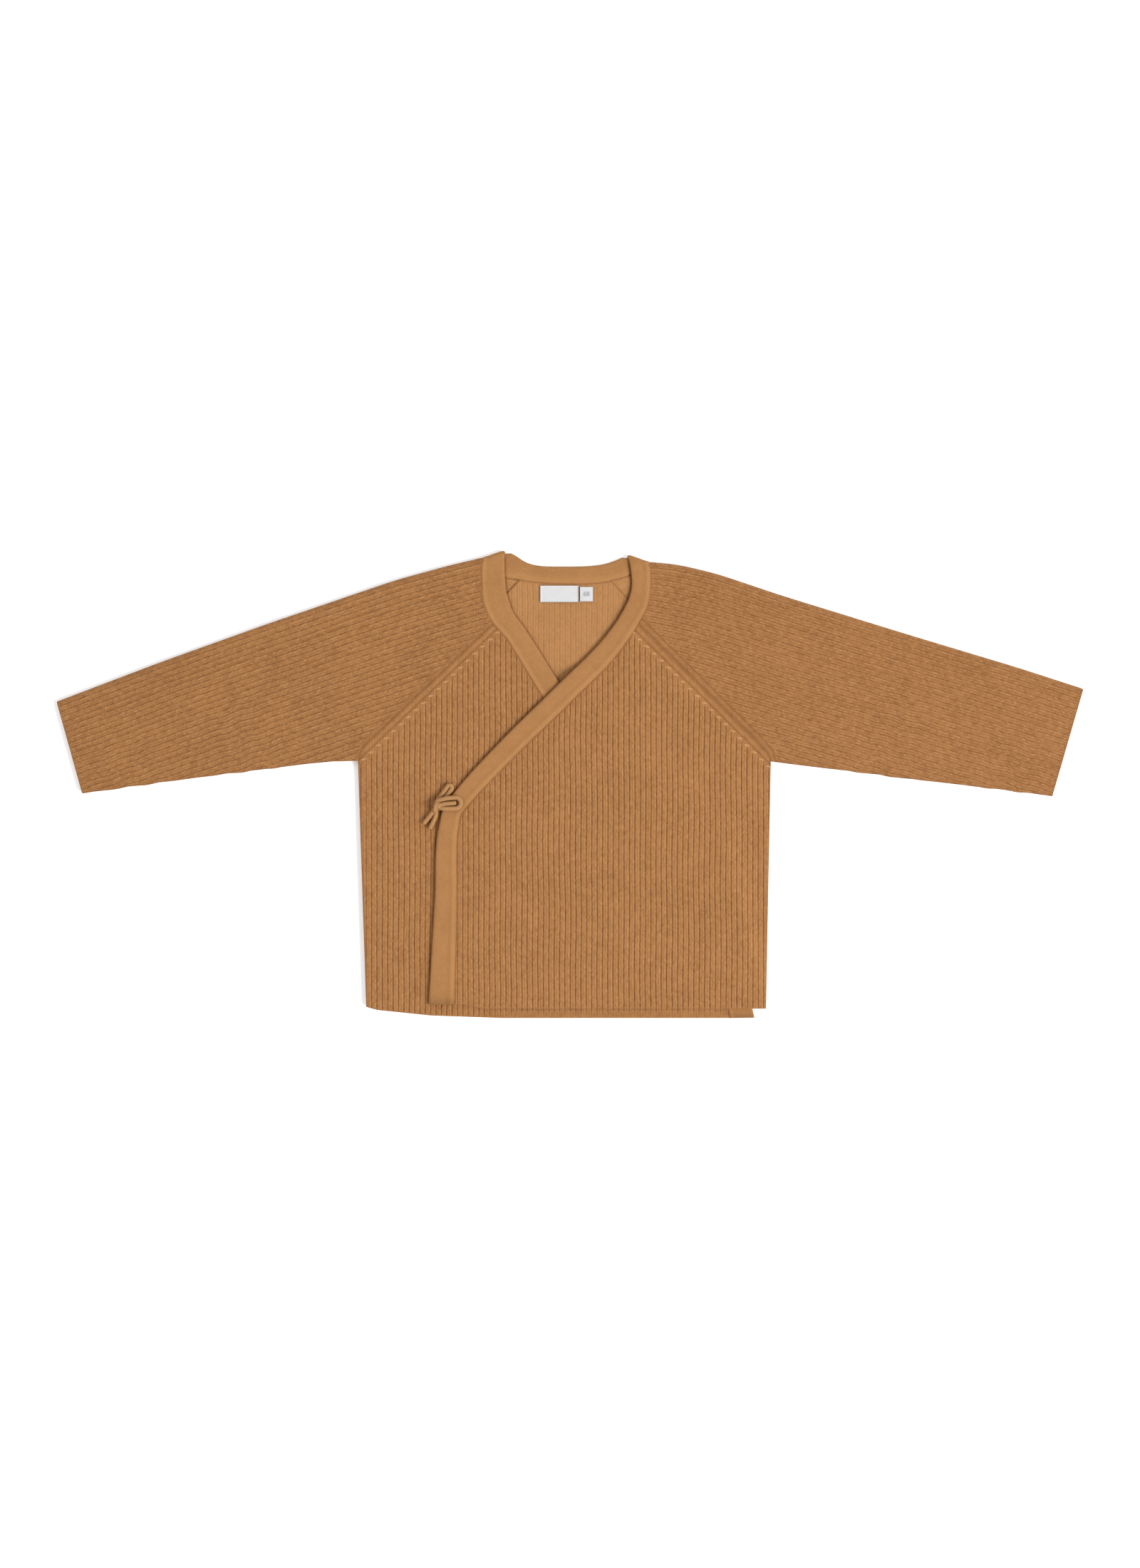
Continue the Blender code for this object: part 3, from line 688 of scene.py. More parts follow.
@dataclass
class SleeveFold:
    """Flat cut of a sleeve folded along its top: around the arm, and along the fold."""

    neck: Point
    cuff_top: Point
    armpit: Point
    rise: Ramp
    blur: int = 13

    def __post_init__(self) -> None:
        """Work out the fold's own directions and its lengths."""
        start = Vector(self.neck)
        chord = Vector(self.cuff_top) - start
        self.length = chord.length
        self.start = np.array(start)
        self.way = np.array(chord.normalized())
        down = np.array((-self.way[1], self.way[0]))
        self.down = down if down[1] < 0 else -down
        self.depth = float((np.array(self.armpit) - self.start) @ self.down)
        self.outer = SLEEVE_FOLD_IN + CREST
        self.half_turn = 0.25 * math.pi * (SLEEVE_FOLD_IN + self.outer)
        stops = np.linspace(0.0, 1.0, 201)
        rows = np.array(self.rise)
        sharp = np.interp(stops, rows[:, 0], rows[:, 1])
        blur = np.ones(self.blur) / self.blur
        soft = np.convolve(np.pad(sharp, self.blur // 2, mode="edge"), blur, mode="valid")
        ease = np.clip(np.minimum(stops, 1.0 - stops) * 201 / self.blur, 0.0, 1.0)
        self.arch = np.column_stack([stops, sharp + (soft - sharp) * ease])

    def lift(self, v: np.ndarray) -> np.ndarray:
        """Return how far the fold arches out at distances along it."""
        return np.interp(np.clip(v / self.length, 0.0, 1.0), self.arch[:, 0], self.arch[:, 1])

    def to_sheet(self, point: Point, side: float) -> Point:
        """Return where a point of the laid garment lies on the flat cut.

        Args:
            point: The point, in the plane of the garment.
            side: 1 for the upper half of the sleeve, -1 for the one beneath.

        Returns:
            Its places around the arm and along the fold.
        """
        away = np.array(point) - self.start
        v, low = float(away @ self.way), float(away @ self.down)
        lift = float(self.lift(np.array([v]))[0])
        u = (low + lift) / (1.0 + lift / self.depth)
        return side * max(u - self.outer + self.half_turn, 0.0), v

    def place(self, s: np.ndarray, v: np.ndarray, radius: np.ndarray) -> np.ndarray:
        """Return the laid sleeve's points, in millimetres.

        Args:
            s: Places around the arm, from under to over.
            v: Places along the fold.
            radius: Distance from the fold's own axis.

        Returns:
            One point a place.
        """
        over = np.maximum(np.abs(s) - self.half_turn, 0.0)
        turn = np.clip(s / self.half_turn, -1.0, 1.0) * 0.5 * math.pi
        u = self.outer - radius * np.cos(turn) + over
        shift = u - self.lift(v) * (1.0 - u / self.depth)
        spot = self.start + v[:, None] * self.way + shift[:, None] * self.down
        return np.column_stack([spot, self.outer + radius * np.sin(turn)])


# Finishes


class Wire:
    """A value in a node tree.  Sums and products of wires add Math nodes to it."""

    def __init__(self, make: NodeMaker, socket: bpy.types.NodeSocket) -> None:
        """Keep the value's socket, and the maker that adds nodes to its tree."""
        self.make, self.socket = make, socket

    def __add__(self, other: object) -> Wire:
        """Return the sum with another value."""
        return self.make.math("ADD", self, other)

    def __sub__(self, other: object) -> Wire:
        """Return this value less another."""
        return self.make.math("SUBTRACT", self, other)

    def __rsub__(self, other: float) -> Wire:
        """Return a number less this value."""
        return self.make.math("SUBTRACT", other, self)

    def __mul__(self, other: object) -> Wire:
        """Return the product with another value."""
        return self.make.math("MULTIPLY", self, other)

    def __truediv__(self, other: object) -> Wire:
        """Return this value divided by another."""
        return self.make.math("DIVIDE", self, other)

    def __abs__(self) -> Wire:
        """Return the value without its sign."""
        return self.make.math("ABSOLUTE", self)

    def xyz(self) -> list[Wire]:
        """Return the three parts of a vector."""
        split = self.make.node("ShaderNodeSeparateXYZ", {0: self})
        return [Wire(self.make, part) for part in split.outputs]


class NodeMaker:
    """Adds nodes to a tree and joins them, so that a finish reads as a list of sums."""

    def __init__(self, tree: bpy.types.NodeTree) -> None:
        """Keep the tree that the nodes go into."""
        self.tree = tree

    def node(self, kind: str, inputs: Inputs | None = None, **values: object) -> bpy.types.Node:
        """Add a node, set its own properties and feed its inputs."""
        made = self.tree.nodes.new(kind)
        for name, value in values.items():
            setattr(made, name, value)
        self.feed(made, inputs or {})
        return made

    def feed(self, node: bpy.types.Node, inputs: Inputs) -> None:
        """Join inputs of a node to other nodes, or set them to numbers."""
        for name, value in inputs.items():
            if isinstance(value, Wire):
                self.tree.links.new(value.socket, node.inputs[name])
            else:
                node.inputs[name].default_value = value

    def value(
        self, kind: str, inputs: Inputs | None = None, out: str | int = 0, **values: object,
    ) -> Wire:
        """Add a node and return one of its outputs."""
        return Wire(self, self.node(kind, inputs, **values).outputs[out])

    def math(self, operation: str, *values: object, clamp: bool = False) -> Wire:
        """Return the result of a Math node."""
        return self.value("ShaderNodeMath", dict(enumerate(values)), operation=operation, use_clamp=clamp)

    def ramp(self, value: Wire, low: float, high: float) -> Wire:
        """Return a value eased from 0 at low to 1 at high."""
        inputs = {"Value": value, "From Min": low, "From Max": high}
        return self.value("ShaderNodeMapRange", inputs, interpolation_type="SMOOTHSTEP")

    def mix(self, share: object, one: object, other: object) -> Wire:
        """Return two colours mixed by a share."""
        return self.value("ShaderNodeMix", {0: share, 6: one, 7: other}, 2, data_type="RGBA")

    def noise(self, vector: Wire, scale: float, detail: float, rough: float = 0.5, out: str = "Fac") -> Wire:
        """Return an output of a Noise node."""
        inputs = {"Vector": vector, "Scale": scale, "Detail": detail, "Roughness": rough}
        return self.value("ShaderNodeTexNoise", inputs, out)

    def vector(self, x: object, y: object, z: object = 0.0) -> Wire:
        """Return a vector of three parts."""
        return self.value("ShaderNodeCombineXYZ", {0: x, 1: y, 2: z})

    def attribute(self, name: str) -> Wire:
        """Return one of the mesh's own attributes."""
        return self.value("ShaderNodeAttribute", None, "Vector", attribute_name=name)

    def place(self) -> Wire:
        """Return the place in the object's own space."""
        return self.value("ShaderNodeTexCoord", None, "Object")

    def bump(self, height: Wire, strength: float, depth: float) -> Wire:
        """Return the normal of a surface raised by up to a depth in millimetres."""
        inputs = {"Strength": strength, "Distance": depth * MM, "Height": height}
        return self.value("ShaderNodeBump", inputs)

    def group(self, tree: bpy.types.NodeTree, inputs: Inputs) -> list[Wire]:
        """Add a shader group and return its outputs."""
        made = self.node("ShaderNodeGroup", inputs, node_tree=tree)
        return [Wire(self, socket) for socket in made.outputs]


class GroupMaker(NodeMaker):
    """Makes a shader group: its inputs, the nodes that read them, and its outputs."""

    def __init__(self, name: str, inputs: dict[str, float | None]) -> None:
        """Make the group and its inputs.

        Args:
            name: The group's name.
            inputs: Each input's own value, or None where it takes a vector.
        """
        super().__init__(bpy.data.node_groups.new(name, "ShaderNodeTree"))
        for label, value in inputs.items():
            kind = "NodeSocketVector" if value is None else "NodeSocketFloat"
            socket = self.tree.interface.new_socket(name=label, in_out="INPUT", socket_type=kind)
            if value is not None:
                socket.default_value = value
        sockets = self.node("NodeGroupInput").outputs[:len(inputs)]
        self.given = [Wire(self, socket) for socket in sockets]

    def give(self, outputs: dict[str, Wire]) -> bpy.types.NodeTree:
        """Add the group's outputs and return the group."""
        for label in outputs:
            self.tree.interface.new_socket(name=label, in_out="OUTPUT", socket_type="NodeSocketFloat")
        self.node("NodeGroupOutput", outputs)
        return self.tree


class Streaks(NamedTuple):
    """Streaks along the ribs: how many to a rib, how many to a millimetre, and their contrast."""

    parts: float
    beat: float
    low: float
    high: float


# They break up the painted shade in the ribs' valleys and middles and the painted highlight on their legs.
VALLEY_STREAKS = Streaks(1.0, 0.3, 0.36, 0.62)
MIDDLE_STREAKS = Streaks(2.0, 0.2, 0.42, 0.66)
LEG_STREAKS = Streaks(4.0, 0.34, 0.4, 0.68)

# Stitches, in millimetres
STITCH_WANDER = (0.5, 1.6, 0.0)
WANDER_SCALE = 0.28
FASHIONING_STEP = 4.6
FASHIONING_LENGTH = 6.5


class ShaderGroups:
    """The shader groups that more than one finish uses, each built once."""

    def __init__(self) -> None:
        """Build every group."""
        self.stitches = self.build_stitches()
        self.ribs = self.build_ribs()
        self.raglan = self.build_raglan()
        self.yarn = self.build_yarn()

    @staticmethod
    def build_stitches() -> bpy.types.NodeTree:
        """Build rows of V-shaped stitches: their height, the painted shade in the gaps between them and each
        one's tint.
        """
        make = GroupMaker("knit_stitches", {"Knit": None, "Wale": 3.5, "Course": 1.6, "Slant": 1.1})
        knit, width, course, slant = make.given
        uneven = make.noise(knit, WANDER_SCALE, 2.0, out="Color")
        inputs = {0: uneven, 1: STITCH_WANDER, 2: knit}
        across, along, _ = make.value("ShaderNodeVectorMath", inputs, operation="MULTIPLY_ADD").xyz()
        wale = (across - 0.5 * STITCH_WANDER[0]) / width
        off = abs(make.math("FRACT", wale) - 0.5)
        row = along / course + off * slant
        beat = abs(make.math("FRACT", row) - 0.5)
        loop = 1.0 - make.math("POWER", beat * 2.0, 2.4)
        from_leg = abs(off - 0.25)
        leg = make.math("SUBTRACT", 1.0, make.math("POWER", from_leg * 3.8, 2.0), clamp=True)
        cell = make.vector(make.math("FLOOR", wale * 2.0), make.math("FLOOR", row))
        tint = make.value("ShaderNodeTexWhiteNoise", {"Vector": cell}, "Value", noise_dimensions="3D")
        # Gap is painted shade, darkest between the rows of stitches.
        height, gap = loop * (leg * 0.75 + 0.25), make.ramp(beat, 0.3, 0.5)
        return make.give({"Height": height, "Gap": gap, "Tint": tint})

    @staticmethod
    def build_ribs() -> bpy.types.NodeTree:
        """Build the painted shade in the ribs' valleys and down their middles, and the painted highlight on
        their legs, broken up along their length.
        """
        make = GroupMaker("knit_ribs", {"Knit": None, "Pitch": RIB_PITCH})
        knit, pitch = make.given
        across, along, ribbed = knit.xyz()
        ribs = across / pitch

        def streaks(line: Streaks) -> Wire:
            """Return streaks along the ribs, each its own for every part of a rib."""
            part = make.math("ROUND", ribs * line.parts)
            spot = make.vector(part * 3.7, along * line.beat, 5.0 * line.parts)
            return make.ramp(make.noise(spot, 1.0, 3.0, 0.65), line.low, line.high)

        # Painted shade in each valley and, fainter, down each rib's middle; a painted highlight on the legs
        # between.
        from_valley = abs(ribs - make.math("ROUND", ribs))
        valley = (1.0 - make.ramp(from_valley, 0.02, 0.14)) * (streaks(VALLEY_STREAKS) * 1.1 + 0.15)
        middle = make.ramp(from_valley, 0.39, 0.5) * streaks(MIDDLE_STREAKS)
        dark = make.math("MAXIMUM", valley, middle * 0.6)
        beside = make.ramp(from_valley, 0.08, 0.2) * make.ramp(from_valley, 0.44, 0.3)
        leg = beside * streaks(LEG_STREAKS)
        return make.give({"Valley": dark * ribbed, "Leg": leg * (ribbed * 0.6 + 0.4)})

    @staticmethod
    def build_raglan() -> bpy.types.NodeTree:
        """Build the painted shade of the grooves and the pale fashioning stitches beside a raglan seam."""
        inputs = {"Knit": None, "Beside": FAR, "Seam At": 1.15, "Groove At": STRIP_GROOVE, "Row At": 6.7}
        make = GroupMaker("raglan_stitches", inputs)
        knit, beside, seam_at, groove_at, row_at = make.given
        # The grooves are painted shade; the fashioning stitches are pale.
        grooves = [make.ramp(abs(beside - at), 1.0, 0.15) for at in (seam_at, groove_at)]
        beat = abs(make.math("FRACT", knit.xyz()[1] / FASHIONING_STEP) - 0.5)
        near = make.vector(beat * FASHIONING_LENGTH, beside - row_at)
        away = make.value("ShaderNodeVectorMath", {0: near}, "Value", operation="LENGTH")
        return make.give({"Groove": make.math("MAXIMUM", *grooves), "Stitch": make.ramp(away, 1.5, 0.7)})

    @staticmethod
    def build_yarn() -> bpy.types.NodeTree:
        """Build the yarn's own mottle and fuzz, from a place in the object's own space."""
        make = GroupMaker("yarn", {"Place": None})
        (place,) = make.given
        return make.give({
            "Mottle": make.noise(place, 90.0, 4.0, 0.6), "Fuzz": make.noise(place, 1900.0, 3.0, 0.7),
        })


def opaque(colour: Colour) -> tuple[float, float, float, float]:
    """Return a colour with full alpha."""
    return (*colour, 1.0)


@dataclass(frozen=True)
class Finish:
    """A named material, built from shader nodes."""

    name: str

    def build(self) -> bpy.types.Material:
        """Build the material."""
        material = bpy.data.materials.new(self.name)
        material.use_nodes = True
        make = NodeMaker(material.node_tree)
        make.feed(material.node_tree.nodes["Principled BSDF"], self.surface(make))
        return material

    def surface(self, make: NodeMaker) -> Inputs:
        """Return what each input of the main shader is fed with."""
        raise NotImplementedError


@dataclass(frozen=True)
class KnitFinish(Finish):
    """A knitted finish: its yarn's colours with painted shade and highlights, and the size and depth of its
    stitches.
    """

    groups: ShaderGroups
    base: Colour
    wale: float
    course: float
    slant: float
    stitch_depth: float
    stitch_shade: float
    tint: float = 0.16
    mottle: float = 0.22
    seam_shade: float = 0.24
    # The colours that the painted shade and painted highlights, and the yarn's own mottle and tint, are mixed
    # towards.
    dark: Colour = (0.13, 0.043, 0.012)
    light: Colour = (0.515, 0.267, 0.105)

    def covered(self, make: NodeMaker) -> Wire:
        """Return how dark the shade of the band's two free edges is."""
        from_over, from_under, up = make.attribute("cover").xyz()
        # The painted shadow is deeper higher up, towards the neck.
        deep = make.math("MINIMUM", up, 1.0) * 0.36 + 0.36
        by_over = make.ramp(from_over, 1.8, 0.2) * deep
        return make.math("MAXIMUM", by_over, make.ramp(from_under, 1.8, 0.3) * 0.4)

    def surface(self, make: NodeMaker) -> Inputs:
        """Return the yarn's colour with its painted shade and highlights, its sheen, and the stitches in
        relief.
        """
        knit = make.attribute("knit")
        inset, darker, from_raglan = make.attribute("tone").xyz()
        sizes = {"Knit": knit, "Wale": self.wale, "Course": self.course, "Slant": self.slant}
        height, gap, tint = make.group(self.groups.stitches, sizes)
        valley, leg = make.group(self.groups.ribs, {"Knit": knit})
        groove, stitch = make.group(self.groups.raglan, {"Knit": knit, "Beside": from_raglan})
        mottle, fuzz = make.group(self.groups.yarn, {"Place": make.place()})
        dark, light = opaque(self.dark), opaque(self.light)
        colour: object = opaque(self.base)
        # Mottle and tint are the yarn's own tone; the tone attribute adds painted shade on the sleeves and in
        # the band's groove and a painted highlight on the band's ridge; the ribs' legs get a painted
        # highlight; the valleys, the gaps between stitches, the raglan grooves, the seams and edges and the
        # band's free edges get painted shade.
        for share, other in (
            (make.ramp(mottle, 0.3, 0.75) * self.mottle, dark),
            (make.math("MAXIMUM", darker, 0.0), dark),
            (make.math("MAXIMUM", darker * -1.0, 0.0), light),
            (tint * self.tint, light),
            (leg * 0.5, light),
            (gap * self.stitch_shade, dark),
            (make.math("MULTIPLY", valley, 0.6, clamp=True), dark),
            (groove * 0.4, dark),
            (stitch * 0.75, light),
            (make.math("MULTIPLY", make.math("EXPONENT", inset * -1.4), self.seam_shade, clamp=True), dark),
            (self.covered(make), dark),
        ):
            colour = make.mix(share, colour, other)
        return {
            "Base Color": colour,
            "Normal": make.bump(stitch * 1.2 + height + fuzz * 0.35, 0.8, self.stitch_depth),
            "Roughness": 0.92, "Specular IOR Level": 0.25,
            "Sheen Weight": 0.25, "Sheen Roughness": 0.6, "Sheen Tint": light,
        }


@dataclass(frozen=True)
class TapeFinish(Finish):
    """White woven tape, with fine threads both ways."""

    colour: Colour = (0.585, 0.575, 0.575)
    shade: Colour = (0.47, 0.475, 0.49)
    threads: float = 2600.0

    def surface(self, make: NodeMaker) -> Inputs:
        """Return the tape's colour and its weave in relief."""
        place = make.place()
        warp, weft = (make.math("SINE", way * (self.threads * math.pi)) for way in place.xyz()[:2])
        weave = abs(warp * weft)
        stained = make.ramp(make.noise(place, 260.0, 3.0, 0.6), 0.4, 0.8) * 0.35
        colour = make.mix(stained, opaque(self.colour), opaque(self.shade))
        colour = make.mix(weave * 0.25, colour, opaque(self.shade))
        return {"Base Color": colour, "Normal": make.bump(weave, 0.5, 0.08), "Roughness": 0.62}


@dataclass(frozen=True)
class MottledFinish(Finish):
    """Two colours mixed by a soft noise, with a glow of their own."""

    colour: Colour
    other: Colour
    noise_scale: float
    noise_rough: float
    share: float
    roughness: float
    glow: float = 0.0

    def surface(self, make: NodeMaker) -> Inputs:
        """Return the mixed colour and its glow."""
        cloud = make.noise(make.place(), self.noise_scale, 2.0, self.noise_rough)
        colour = make.mix(cloud * self.share, opaque(self.colour), opaque(self.other))
        glow = {"Emission Color": opaque(self.colour), "Emission Strength": self.glow}
        return {"Base Color": colour, "Roughness": self.roughness, **glow}


TAPE_FINISH = TapeFinish("label_tape")
INK_FINISH = MottledFinish("size_number_thread", (0.24, 0.25, 0.28), (0.4, 0.42, 0.46), 2400.0, 0.6, 1.0, 0.8)
FLOOR_FINISH = MottledFinish("pale_floor", (0.9, 0.9, 0.9), (0.8, 0.8, 0.8), 3.0, 0.5, 0.06, 0.95, 0.3)


def knit_materials() -> dict[Slot, bpy.types.Material]:
    """Build the knitted materials, which share their shader groups."""
    groups = ShaderGroups()
    finishes = (
        KnitFinish(
            Slot.RIB_KNIT.value, groups, (0.342, 0.152, 0.0485), wale=RIB_PITCH, course=1.6, slant=2.3,
            stitch_depth=0.3, stitch_shade=0.2, tint=0.26,
        ),
        KnitFinish(
            Slot.BAND_KNIT.value, groups, (0.352, 0.166, 0.056), wale=1.75, course=1.2, slant=1.7,
            stitch_depth=0.12, stitch_shade=0.05, tint=0.1, mottle=0.15,
        ),
        KnitFinish(
            Slot.TIE_CORD.value, groups, (0.45, 0.235, 0.093), wale=1.26, course=1.2, slant=1.8,
            stitch_depth=0.26, stitch_shade=0.22, tint=0.12, mottle=0.14, seam_shade=0.0,
        ),
    )
    return {Slot(finish.name): finish.build() for finish in finishes}


# Pieces


def finish_piece(piece: bpy.types.Object, material: bpy.types.Material, slot: Slot, *nodes: str) -> None:
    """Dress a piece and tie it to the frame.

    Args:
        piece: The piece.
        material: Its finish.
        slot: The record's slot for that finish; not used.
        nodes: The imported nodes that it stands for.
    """
    piece.data.materials.append(material)
    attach(piece, ROOT)
    if nodes:
        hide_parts(*nodes)
    log.info("%s: %d vertices", piece.name, len(piece.data.vertices))


def lay_sheet(
    cut: RibbedCut, material: bpy.types.Material, node: str,
) -> None:
    """Args:
        cut: The cut.
        material: Its finish.
        node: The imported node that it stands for.
    """
    piece = cut.build()
    finish_piece(piece, material, Slot.RIB_KNIT, node)
    cut.flat
    cut.area


@dataclass
class CutLines:
    """The band's smoothed rows, and the seam edges that the pieces of cloth share."""

    substeps: int = 9
    deep_shade: Point = (96.0, 116.0)

    def __post_init__(self) -> None:
        """Work out the rows of the band's three stretches, and their seam edges."""
        self.under = past_fold(smooth_rows(UNDER_BAND, self.substeps), -1)
        self.neck = past_fold(past_fold(smooth_rows(NECK_BAND, self.substeps), 0), -1)
        self.over = past_fold(smooth_rows(OVER_BAND, self.substeps), 0)
        self.under_free = np.array([row[:2] for row in self.under])
        self.over_free = np.array([row[:2] for row in self.over])
        self.under_seam = seam_line(self.under, (-1,))
        self.neck_seam = seam_line(self.neck, (0, -1))
        self.over_seam = seam_line(self.over, (0,))

    def cover(self, points: np.ndarray, by_under: bool = True, below: float = FAR) -> np.ndarray:
        """Return how far points are from the band's free edges that lie over them, for the painted shadow
        beside those edges.

        Args:
            points: The points, in millimetres.
            by_under: Whether the right front's band lies over them too.
            below: Only points lower than this are covered.

        Returns:
            The distance from the left front's band, from the right front's, and a share from 0 to 1 that
            rises with height between the two of deep_shade, which deepens the painted shadow towards the
            neck.
        """
        bare = (points[:, 2] > below) | (points[:, 1] < OVER_BAND[-1].free_y + TUCK)
        over = np.where(bare, FAR, side_distance(points[:, :2], self.over_free))
        under = np.where(bare | (not by_under), FAR, side_distance(points[:, :2], self.under_free))
        return np.stack([over, under, smooth_step(points[:, 1], *self.deep_shade)], axis=1)


class HemGroove(NamedTuple):
    """A groove along a hem: where across the ribs it fades in, and its height in the garment.

    The ribs below it are flattened by a share, from one distance to another above it.
    """

    start: float
    stop: float
    height: float
    depth: float = 0.55
    width: float = 0.5
    flattened: float = 0.92
    flat_from: Point = (-2.6, -0.4)


def level(height: float) -> Callable[[np.ndarray], np.ndarray]:
    """Return a function that gives every place one height."""
    return lambda flat: np.full(len(flat), height)


@dataclass
class Panel(RibbedCut):
    """The cut of the back or of a front, with a plain strip beside its raglan."""

    base: Callable[[np.ndarray], np.ndarray] = level(LAYER[0])
    raglan: tuple[Point, Point] | None = None
    shift: float = 0.0
    swell: float = 0.0
    relief: float = 1.0
    hem: HemGroove | None = None
    strip: Point = (7.5, 8.7)
    groove_depth: float = 0.3
    groove_width: float = 0.7
    wander: float = 0.45

    def beside(self, spots: Spots) -> np.ndarray:
        """Return how far each spot is from the raglan, less the shift of its stitches."""
        if self.raglan is None:
            return super().beside(spots)
        return np.maximum(line_distance(spots.flat, *self.raglan) - self.shift, 3.0 * self.shift)

    def thickness(self, spots: Spots) -> tuple[np.ndarray, np.ndarray]:
        """Return how thick the panel is at each spot, and how ribbed."""
        away = self.beside(spots)
        ribbed = self.relief * smooth_step(spots.inset, *RIBS_START) * smooth_step(away, *self.strip)
        groove = self.groove_depth * np.exp(-((away - STRIP_GROOVE) / self.groove_width) ** 2)
        if self.hem is not None:
            share = smooth_step(spots.across, self.hem.start, self.hem.stop)
            below = self.hem.height - spots.along
            ribbed = ribbed * (1.0 - self.hem.flattened * share * smooth_step(below, *self.hem.flat_from))
            groove = groove + self.hem.depth * share * np.exp(-(below / self.hem.width) ** 2)
        ribs = VALLEY + (CREST - VALLEY) * rib_profile(spots.across)
        swell = self.swell * self.rise(spots, 85.0) * smooth_step(spots.inset, 2.0, 20.0)
        return PLAIN + (ribs - PLAIN) * ribbed - groove + swell, ribbed

    def lay(self, spots: Spots, deep: np.ndarray, outer: bool) -> np.ndarray:
        """Return where the spots lie, with the outer ribs a little uneven."""
        flat = spots.flat
        height = self.base(flat) + deep
        if outer:
            ease = smooth_step(spots.inset, *WANDER_START)
            flat[:, 0] += self.wander * ease * waver(spots.across, spots.along, 75.0, self.seed)
        return np.column_stack([flat, height])


@dataclass
class Body:
    """The back and the two fronts."""

    lines: CutLines
    material: bpy.types.Material

    def build(self) -> None:
        lay_sheet(self.back(), self.material, "back")
        lay_sheet(self.right_front(), self.material, "right_front")
        lay_sheet(self.left_front(), self.material, "left_front")

    def back(self) -> Panel:
        """Return the cut of the back, whose ribs show inside the neck."""
        _, rest = split_seam(self.lines.neck_seam, BACK_RAGLAN_ROWS[0])
        edge, _ = split_seam(rest, BACK_RAGLAN_ROWS[1])
        outline = shrink([
            ((ARMPIT_RIGHT, SIDE_HEM_RIGHT, SIDE_HEM_LEFT, ARMPIT_LEFT), 0.0),
            ((ARMPIT_LEFT, *RAGLAN_LEFT, edge[-1]), RAGLAN_TUCK),
            (edge[::-1], TUCK),
            ((edge[0], *reversed(RAGLAN_RIGHT), ARMPIT_RIGHT), RAGLAN_TUCK),
        ])
        return Panel(
            "back_cloth", outline, 1.0, shade=-0.36, cover=self.lines.cover, swell=0.15, relief=0.3,
            ruling=Ruling(parts=(0.0, 0.12, 0.3, 0.5, 0.7, 0.88), row_step=3.2),
        )

    def right_front(self) -> Panel:
        """Return the cut of the right front, which runs on under the left one."""
        edge, _ = split_seam(self.lines.under_seam, UNDER_RAGLAN_ROW)
        outline = shrink([
            ((ARMPIT_RIGHT, SIDE_HEM_RIGHT, *UNDER_HEM, edge[0]), 0.0),
            (edge, TUCK),
            ((edge[-1], *reversed(RAGLAN_RIGHT), ARMPIT_RIGHT), RAGLAN_TUCK),
        ])
        return Panel(
            "right_front_cloth", outline, 2.0, shade=0.03, base=level(LAYER[1]), swell=0.2,
            raglan=(edge[-1], RAGLAN_RIGHT[0]), hem=HemGroove(-62.0, -30.0, -149.4),
            cover=lambda points: self.lines.cover(points, by_under=False),
        )

    def left_front(self) -> Panel:
        """Return the cut of the left front, over the right one and sunk beyond its hidden edge."""
        _, edge = split_seam(self.lines.over_seam, OVER_RAGLAN_ROW)
        outline = shrink([
            ((edge[-1], *OVER_HEM, SIDE_HEM_LEFT, ARMPIT_LEFT), 0.0),
            ((ARMPIT_LEFT, *RAGLAN_LEFT, edge[0]), RAGLAN_TUCK),
            (edge, TUCK),
        ])
        return Panel(
            "left_front_cloth", outline, 3.0, base=over_base, raglan=(RAGLAN_LEFT[-1], edge[0]), shift=0.5,
            swell=0.7,
        )


